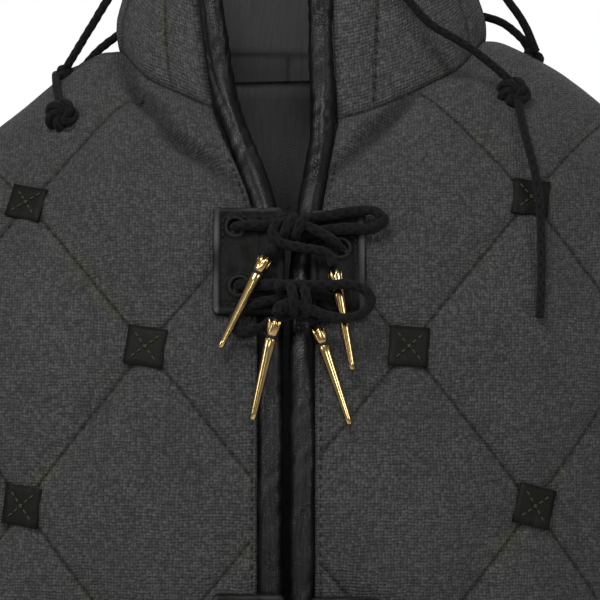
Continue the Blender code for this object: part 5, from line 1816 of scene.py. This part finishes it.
@dataclass
class Bindings:
    """Rolled leather over the front edges and the collar's top."""

    form: CoatForm
    finish: Finishes
    collar: StandCollar
    sides: int = 34
    step: float = 1.8
    crease: float = 1.75

    def roll(self, name: str, spots: Points, wide: Points, out: Points, seed: float) -> None:
        """One roll of leather along a path, wrinkled as it was drawn round the edge."""
        far = distances(spots)
        at = np.arange(0.0, far[-1], self.step)
        at = np.append(at, far[-1])
        path, wide, out = (points_at(x, far, at) for x in (spots, wide, out))
        s, phi = np.meshgrid(at, np.arange(self.sides) * 2 * math.pi / self.sides, indexing="ij")
        slant = s + 5.0 * phi
        wrinkle = 0.16 * np.sin(slant * 0.8 + 2 * ripple(s, s * 0, 40.0, seed))
        wrinkle += 0.26 * ripple(slant, phi * 6, 15.0, seed)
        wrinkle *= 0.75 + 0.6 * ripple(s, s * 0, 75.0, seed + 1)
        drag = 0.85 * np.exp(-((phi - self.crease - 0.35 * ripple(s, s * 0, 90.0, seed)) / 0.20) ** 2)
        drag *= 0.65 + 0.45 * ripple(s, s * 0, 60.0, seed + 4)
        radius = self.form.binding_half * (1 + 0.05 * ripple(s, phi * 5, 26.0, seed + 2)) + wrinkle - drag
        ends = np.minimum(s, at[-1] - s)
        radius = radius * np.sqrt(np.clip(0.25 + ends / 4.0, 0, 1))
        points = (path[:, None] + wide[:, None] * (radius * np.cos(phi))[..., None]
                  + out[:, None] * (radius * np.sin(phi))[..., None])
        index = np.arange(points.shape[0] * self.sides).reshape(-1, self.sides)
        wrap = np.concatenate([index, index[:, :1]], 1)
        quads = np.stack([wrap[:-1, :-1], wrap[:-1, 1:], wrap[1:, 1:], wrap[1:, :-1]], -1).reshape(-1, 4)
        faces = quads.tolist() + [index[0].tolist(), index[-1][::-1].tolist()]
        made = new_piece(name, points.reshape(-1, 3), faces, [self.finish.binding])
        turn_out(made)
        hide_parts(name)

    def front(self, hand: Hand) -> None:
        """The binding of one front edge, from the hem to the collar's top."""
        z = np.concatenate([np.linspace(self.form.hem, -130.0, 300), np.linspace(-128.0, -38.0, 60)])
        x = self.form.front_edge(z, hand)
        q, t = self.form.cut_place(x, z)
        place = self.form.placer(Side.FRONT)
        spots, out = place(q, t), normals(place, q, t)
        turn = math.asin((self.form.seam_edge(hand) - self.form.neck[0]) / self.form.neck[1])
        neck = self.form.neck_seam(np.array([turn]))
        wide, middle, deep, back = self.form.collar_top
        top = self.form.top_edge(hand)
        angle = math.asin((top - middle) / wide)
        head = np.array([top, back - deep * math.cos(angle), self.form.collar_front_top + 11.0])
        shares = np.linspace(0.12, 1.0, 24)[:, None]
        rise = self.form.settle(np.concatenate([neck, neck + (head - neck) * shares]))
        spots = np.concatenate([spots, rise])
        seam_out = unit(out[-1:] + np.array([[0.0, -1.0, 0.0]]))
        stand_out = unit(np.array([[math.sin(angle), -math.cos(angle), 0.2]]))
        turn = np.clip(shares * 4, 0, 1)
        out = np.concatenate([out, seam_out, unit(seam_out * (1 - turn) + stand_out * turn)])
        for _ in range(6):
            spots[1:-1] = (spots[:-2] + 2 * spots[1:-1] + spots[2:]) / 4
            out[1:-1] = (out[:-2] + 2 * out[1:-1] + out[2:]) / 4
        run = unit(np.gradient(spots, axis=0))
        side = unit(np.cross(run, out))
        out = unit(np.cross(side, run))
        spots = spots - out * self.form.binding_sink
        self.roll(f"binding_{hand.name.lower()}", spots, side, out, 1.0 + hand.value)

    def top(self) -> None:
        """The binding of the collar's top edge."""
        place = self.collar.surface()
        turns = np.linspace(0.012, 0.996, 220)
        spots = place(turns, np.ones(len(turns)))
        run = unit(np.gradient(spots, axis=0))
        up = np.repeat([[0.0, 0.0, 1.0]], len(turns), axis=0)
        out = unit(np.cross(run, up))
        up = unit(np.cross(out, run))
        rise = self.form.binding_half + self.form.seam_gap + 0.4
        spots = spots - out * self.form.binding_sink + up * rise
        self.roll("binding_collar", spots, out, up, 5.0)

    def build(self) -> None:
        """Builds the three bindings and the stitching beside the front ones."""
        for hand in Hand:
            self.front(hand)
        self.top()
        stitches = Stitches(length=2.6, pitch=4.2, width=0.4)
        for hand in Hand:
            z = np.linspace(-44.0, self.form.hem + 6.0, 400)
            x = self.form.front_edge(z, hand) + hand.value * (self.form.binding_half + 2.6)
            q, t = self.form.cut_place(x, z)
            place = self.form.placer(Side.FRONT)
            out = normals(place, q, t)
            stitches.row(place(q, t) + out * 0.7, out)
        stitches.build("binding_stitches", self.finish.thread)


@dataclass
class LacePatches:
    """The leather patches with eyelets that the laces pass through."""

    form: CoatForm
    finish: Finishes
    pitch: float = 167.0
    pairs: tuple[str, ...] = ("chest", "waist", "hip")
    lift: float = 3.5
    thickness: float = 2.4
    hole: float = 3.28
    hole_sides: int = 28
    inset: float = 4.4
    patches: tuple = (  # hand, x from, x to, z from, z to, places of its two eyelets
        ("left", -32.4, -1.0, -115.0, -68.2, ((-22.4, -77.0), (-20.7, -102.7))),
        ("right", 9.9, 34.3, -116.5, -69.5, ((23.3, -86.2), (19.5, -108.0))),
    )
    grid: float = 1.1
    corner: float = 2.5
    inner_fold: float = -11.0
    fold_end: float = -89.0

    def outline(self, x0: float, x1: float, z0: float, z1: float) -> Points:
        """A rectangle with rounded corners."""
        spots = []
        r = self.corner
        for cx, cz, first in ((x1 - r, z0 + r, -90), (x1 - r, z1 - r, 0),
                              (x0 + r, z1 - r, 90), (x0 + r, z0 + r, 180)):
            for turn in np.radians(first + np.linspace(0, 90, 5)):
                spots.append((cx + r * math.cos(turn), cz + r * math.sin(turn)))
        spots.append(spots[0])
        return evenly(np.array(spots), self.grid)[:-1]

    def patch(self, level: str, drop: float, hand: str, box: Sequence[float],
              eyelets: Sequence[Sequence[float]]) -> None:
        """One patch, its edge turned in and its eyelets lipped."""
        ring = self.outline(*box)
        spots, edges = [tuple(p) for p in ring], loop_edges(0, len(ring))
        holes = []
        for x, z in eyelets:
            turn = np.arange(self.hole_sides) * 2 * math.pi / self.hole_sides
            ways = np.stack([np.cos(turn), np.sin(turn)], 1)
            edges += loop_edges(len(spots), self.hole_sides)
            for far in (0.0, 0.5, 1.1, 1.8, 2.6):
                spots += [tuple(p) for p in ways * (self.hole + far) + (x, z)]
            holes.append(ways * self.hole + (x, z))
        for far in (0.35, 0.9):
            inner = ring + unit(np.array([(box[0] + box[1]) / 2, (box[2] + box[3]) / 2]) - ring) * far * 1.2
            spots += [tuple(p) for p in inner]
        x, z = np.meshgrid(np.arange(box[0], box[1], self.grid), np.arange(box[2], box[3], self.grid))
        grid = np.stack([x.ravel(), z.ravel()], 1)
        clear = edge_distance(grid, ring) > 1.7
        for x, z in eyelets:
            clear &= np.hypot(grid[:, 0] - x, grid[:, 1] - z) > self.hole + 3.3
        spots += [tuple(p) for p in grid[clear]]
        flat, faces = triangulate(spots, edges)
        middle = flat[faces].mean(1)
        keep = edge_distance(middle, ring) > 0
        for hole in holes:
            keep &= edge_distance(middle, hole) < 0
        faces = faces[keep]
        edge = edge_distance(flat, ring)
        u, v = flat.T
        lift = self.thickness + 0.55 * ripple(u, v - drop, 15.0, 2.0) * np.clip(edge / 4.0, 0, 1)
        lift += 0.75 * np.exp(-((edge - 1.9) / 1.1) ** 2) - 0.7 * np.exp(-((edge - 4.4) / 0.8) ** 2)
        for x, z in eyelets:
            far = np.hypot(u - x, v - z) - self.hole
            lift += 0.95 * np.exp(-((far - 0.9) / 0.75) ** 2) - 0.5 * np.exp(-((far - 3.0) / 0.9) ** 2)
            lift -= 0.8 * np.clip(1 - far / 0.5, 0, 1)
        lift -= 1.3 * np.clip(1 - edge / 1.1, 0, 1) ** 2
        if hand == "left":
            lift -= 0.9 * np.exp(-((u - self.inner_fold) / 0.8) ** 2) * (v > self.fold_end)
        low = self.form.front_point(u, v - drop, np.full(len(flat), self.lift))
        high = self.form.front_point(u, v - drop, self.lift + lift)
        # Painted highlight mixed with rubbed wear: strongest along the outer side, weaker along the top,
        # faint elsewhere, with a ring round each eyelet's lip.
        worn = np.exp(-((edge - 1.5) / 0.85) ** 2) * (0.7 + 0.3 * ripple(u, v, 19.0, drop))
        outer_side = np.abs(u - (box[0] if hand == "left" else box[1])) < 2.6
        top_side = np.abs(v - box[3]) < 2.6
        worn *= np.where(outer_side, 1.0, np.where(top_side, 0.3, 0.12))
        for x, z in eyelets:
            far = np.hypot(u - x, v - z) - self.hole
            worn += 0.16 * np.exp(-((far - 0.8) / 0.5) ** 2)
        self.close(f"patch_{level}_{hand}", faces, high, low, worn)

    def close(self, name: str, faces: Points, high: Points, low: Points, worn: Points) -> None:
        """Closes a patch's two skins."""
        used, points, every = triangle_shell(faces, high, low)
        made = new_piece(name, points, every, [self.finish.patch])
        write_value(made, "worn", np.concatenate([worn[used], np.zeros(len(used))]))
        turn_out(made)
        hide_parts(name)

    def build(self) -> None:
        """Builds the six patches and their stitching."""
        stitches = Stitches(length=2.2, pitch=3.4, width=0.32)
        for pair, level in enumerate(self.pairs):
            for hand, x0, x1, z0, z1, eyelets in self.patches:
                self.patch(level, self.pitch * pair, hand, (x0, x1, z0, z1), eyelets)
                track = self.outline(x0 + self.inset, x1 - self.inset, z0 + self.inset, z1 - self.inset)
                track = np.concatenate([track, track[:1]])
                flat = np.full(len(track), self.lift + self.thickness - 0.5)
                where = self.form.front_point(track[:, 0], track[:, 1] - self.pitch * pair, flat)
                q, t = self.form.cut_place(track[:, 0], track[:, 1] - self.pitch * pair)
                stitches.row(where, normals(self.form.placer(Side.FRONT), q, t))
        stitches.build("patch_stitches", self.finish.thread)


@dataclass
class LeatherSquares:
    """The leather squares sewn over the quilting's crossings with a crossed stitch."""

    form: CoatForm
    finish: Finishes
    side: float = 17.6
    lift: float = 1.2
    thickness: float = 1.8
    tilt: float = math.radians(-9.0)
    cross: float = 0.36  # share of the side that each arm of the crossed stitch reaches
    named: dict = field(default_factory=lambda: {  # column and row of the quilting
        "square_left_a": (-1, 1), "square_right_a": (1, 1),
        "square_left_b": (-2, 2), "square_right_b": (2, 2),
        "square_left_c": (-2, 0), "square_right_c": (2, 0),
    })
    stitches: Stitches = field(default_factory=lambda: Stitches(length=3.0, pitch=3.3, width=0.42))

    def one(self, mesh: Mesh, place: Place, sign: float, q: float, t: float, seed: float) -> None:
        """Adds one square to a mesh, its corners a little raised, and its crossed stitch."""
        turn = self.tilt + 0.10 * math.sin(seed * 2.3)
        made = bmesh.ops.create_grid(mesh, x_segments=7, y_segments=7, size=self.side / 2)
        flat = np.array([tuple(v.co)[:2] for v in made["verts"]])
        spin = np.array([[math.cos(turn), -math.sin(turn)], [math.sin(turn), math.cos(turn)]])
        edge = np.abs(flat).max(1) / (self.side / 2)
        u, v = flat.T
        curl = 0.5 * (np.abs(u * v) / (self.side / 2) ** 2) ** 2
        dent = 0.7 * np.exp(-np.minimum(np.abs(u - v), np.abs(u + v)) / 1.6) * (edge < 0.8)
        drop = 0.5 * (edge > 0.95)
        spots = flat @ spin.T + (q, t)
        base = place(*spots.T)
        out = normals(place, *spots.T) * sign
        high = base + out * (self.lift + self.thickness + curl - dent - drop)[:, None]
        low = base + out * self.lift
        for vert, spot in zip(made["verts"], high):
            vert.co = spot
        faces = list({f for v in made["verts"] for f in v.link_faces})
        copy = bmesh.ops.duplicate(mesh, geom=faces)
        pairs = {a: b for a, b in copy["vert_map"].items() if a in set(made["verts"])}
        for vert, spot in zip(made["verts"], low):
            pairs[vert].co = spot
        rims = [[e for e in {e for f in group for e in f.edges} if e.is_boundary]
                for group in (faces, [g for g in copy["geom"] if isinstance(g, bmesh.types.BMFace)])]
        bmesh.ops.bridge_loops(mesh, edges=rims[0] + rims[1])
        for way in (1, -1):
            run = np.linspace(-self.cross, self.cross, 12) * self.side
            track = np.stack([run, run * way], 1) @ spin.T + (q, t)
            ways = normals(place, *track.T) * sign
            self.stitches.row(place(*track.T) + ways * (self.lift + self.thickness - 0.35), ways)

    def build(self, panels: Sequence[QuiltedPanel], sleeves: Sequence[QuiltedSleeve]) -> None:
        """Builds the squares of every panel and sleeve."""
        front = self.form.placer(Side.FRONT)
        known = []
        for number, (name, (column, row)) in enumerate(self.named.items()):
            q = self.form.front_quilt[0] + column * self.form.quilt_half[0]
            t = self.form.front_quilt[1] + row * self.form.quilt_half[1]
            known.append((q, t))
            mesh = bmesh.new()
            self.one(mesh, front, 1.0, q, t, number)
            made = piece_from(name, mesh, [self.finish.square])
            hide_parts(name)
        for panel in panels:
            mesh = bmesh.new()
            sign = -panel.side.value
            for number, (q, t) in enumerate(panel.crossings()):
                if panel.side is Side.FRONT and any(math.hypot(q - a, t - b) < 5.0 for a, b in known):
                    continue
                self.one(mesh, self.form.placer(panel.side), sign, float(q), float(t), number * 1.7)
            piece_from(f"{panel.name}_squares", mesh, [self.finish.square])
        for sleeve in sleeves:
            self.on_sleeve(sleeve)
        self.stitches.build("square_stitches", self.finish.olive)

    def on_sleeve(self, sleeve: QuiltedSleeve) -> None:
        """The squares of one sleeve."""
        at, length = sleeve.surface()
        mesh = bmesh.new()
        half = self.form.quilt_half
        for i in range(-3, 4):
            for j in range(-5, 6):
                q, t = sleeve.girth / 2 + i * half[0], length / 2 + j * half[1]
                if (i + j) % 2 or not 24.0 < t < length - 16.0:
                    continue
                across = at(q, t) - at(q + sleeve.girth / 2, t)
                sign = 1.0 if float((across * normals(at, q, t)).sum()) > 0 else -1.0
                self.one(mesh, at, sign, q, t, i * 1.3 + j)
        name = f"sleeve_{sleeve.hand.name.lower()}_squares"
        piece_from(name, mesh, [self.finish.square])


def main() -> None:
    """Builds the scene in order."""
    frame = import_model()
    LOG.info("%d nodes", len(frame["nodes"]))
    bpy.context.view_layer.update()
    studio = Studio()
    studio.camera()
    form, finish = CoatForm(), Finishes()
    Lacing(form, finish).build()
    ShoulderCords(form, finish).build()

    left = QuiltedPanel(
        form, finish, "front_left", Side.FRONT, form.front_outline(Hand.LEFT), form.front_quilt,
        (0.30, 0.93),
        creases=(
            seen_crease(form, -76.0, 2.0, -57.0, -26.0, -6.0, 4.4),
            seen_crease(form, -70.0, -9.0, -39.0, -44.0, -6.0, 4.6),
            seen_crease(form, -55.0, -28.0, -14.0, -66.0, -6.0, 4.8),
            seen_crease(form, -58.0, -6.0, -24.0, -44.0, 1.4, 6.0),
            seen_crease(form, -80.0, -20.0, -36.0, -66.0, 1.0, 8.0),
            Crease(-200.0, -250.0, -120.0, -330.0, -2.4, 12.0),
            Crease(-190.0, -420.0, -70.0, -408.0, -2.2, 11.0),
            Crease(-210.0, -455.0, -110.0, -470.0, 1.8, 10.0),
            Crease(-130.0, -560.0, -90.0, -760.0, -2.4, 16.0),
            Crease(-200.0, -600.0, -190.0, -800.0, 2.6, 18.0),
        ),
        dropped=((0, 2, -1), (-1, 3, -1)),
        bare=((-62.5, 15.0),),
    )
    right = QuiltedPanel(
        form, finish, "front_right", Side.FRONT, form.front_outline(Hand.RIGHT), form.front_quilt,
        (0.30, 0.93),
        creases=(
            seen_crease(form, 69.0, -1.0, 45.0, -24.0, -6.0, 4.4),
            seen_crease(form, 59.0, -11.0, 32.0, -37.0, -6.0, 4.6),
            seen_crease(form, 48.0, -22.0, 9.0, -64.0, -6.0, 4.6),
            seen_crease(form, 74.0, -18.0, 34.0, -66.0, 1.0, 8.0),
            Crease(200.0, -245.0, 130.0, -320.0, -2.2, 12.0),
            Crease(195.0, -430.0, 80.0, -414.0, -2.4, 11.0),
            Crease(205.0, -468.0, 120.0, -455.0, 1.6, 10.0),
            Crease(120.0, -570.0, 96.0, -770.0, -2.2, 16.0),
            Crease(196.0, -610.0, 186.0, -800.0, 2.4, 18.0),
        ),
        dropped=((0, 2, 1),),
        bare=((53.5, 15.0),),
    )
    back = QuiltedPanel(
        form, finish, "back", Side.BACK, form.back_outline(), form.back_quilt, (0.56, 0.93),
        creases=(
            Crease(-190.0, -240.0, -110.0, -300.0, -2.4, 12.0),
            Crease(185.0, -250.0, 100.0, -310.0, -2.2, 12.0),
            Crease(-150.0, -425.0, 10.0, -410.0, -2.4, 11.0),
            Crease(160.0, -440.0, 40.0, -432.0, -2.0, 10.0),
            Crease(-60.0, -560.0, -50.0, -780.0, -2.6, 17.0),
            Crease(80.0, -570.0, 92.0, -790.0, -2.4, 17.0),
        ),
    )
    for panel in (left, right, back):
        panel.build()
    sleeves = [QuiltedSleeve(form, finish, hand) for hand in Hand]
    for sleeve in sleeves:
        sleeve.build()
    collar = StandCollar(form, finish)
    collar.build()
    Bindings(form, finish, collar).build()
    LacePatches(form, finish).build()
    LeatherSquares(form, finish).build((left, right, back), sleeves)
    studio.light()
    studio.ground()


if __name__ == "__main__":
    logging.basicConfig(level=logging.INFO, format="%(message)s")
    main()
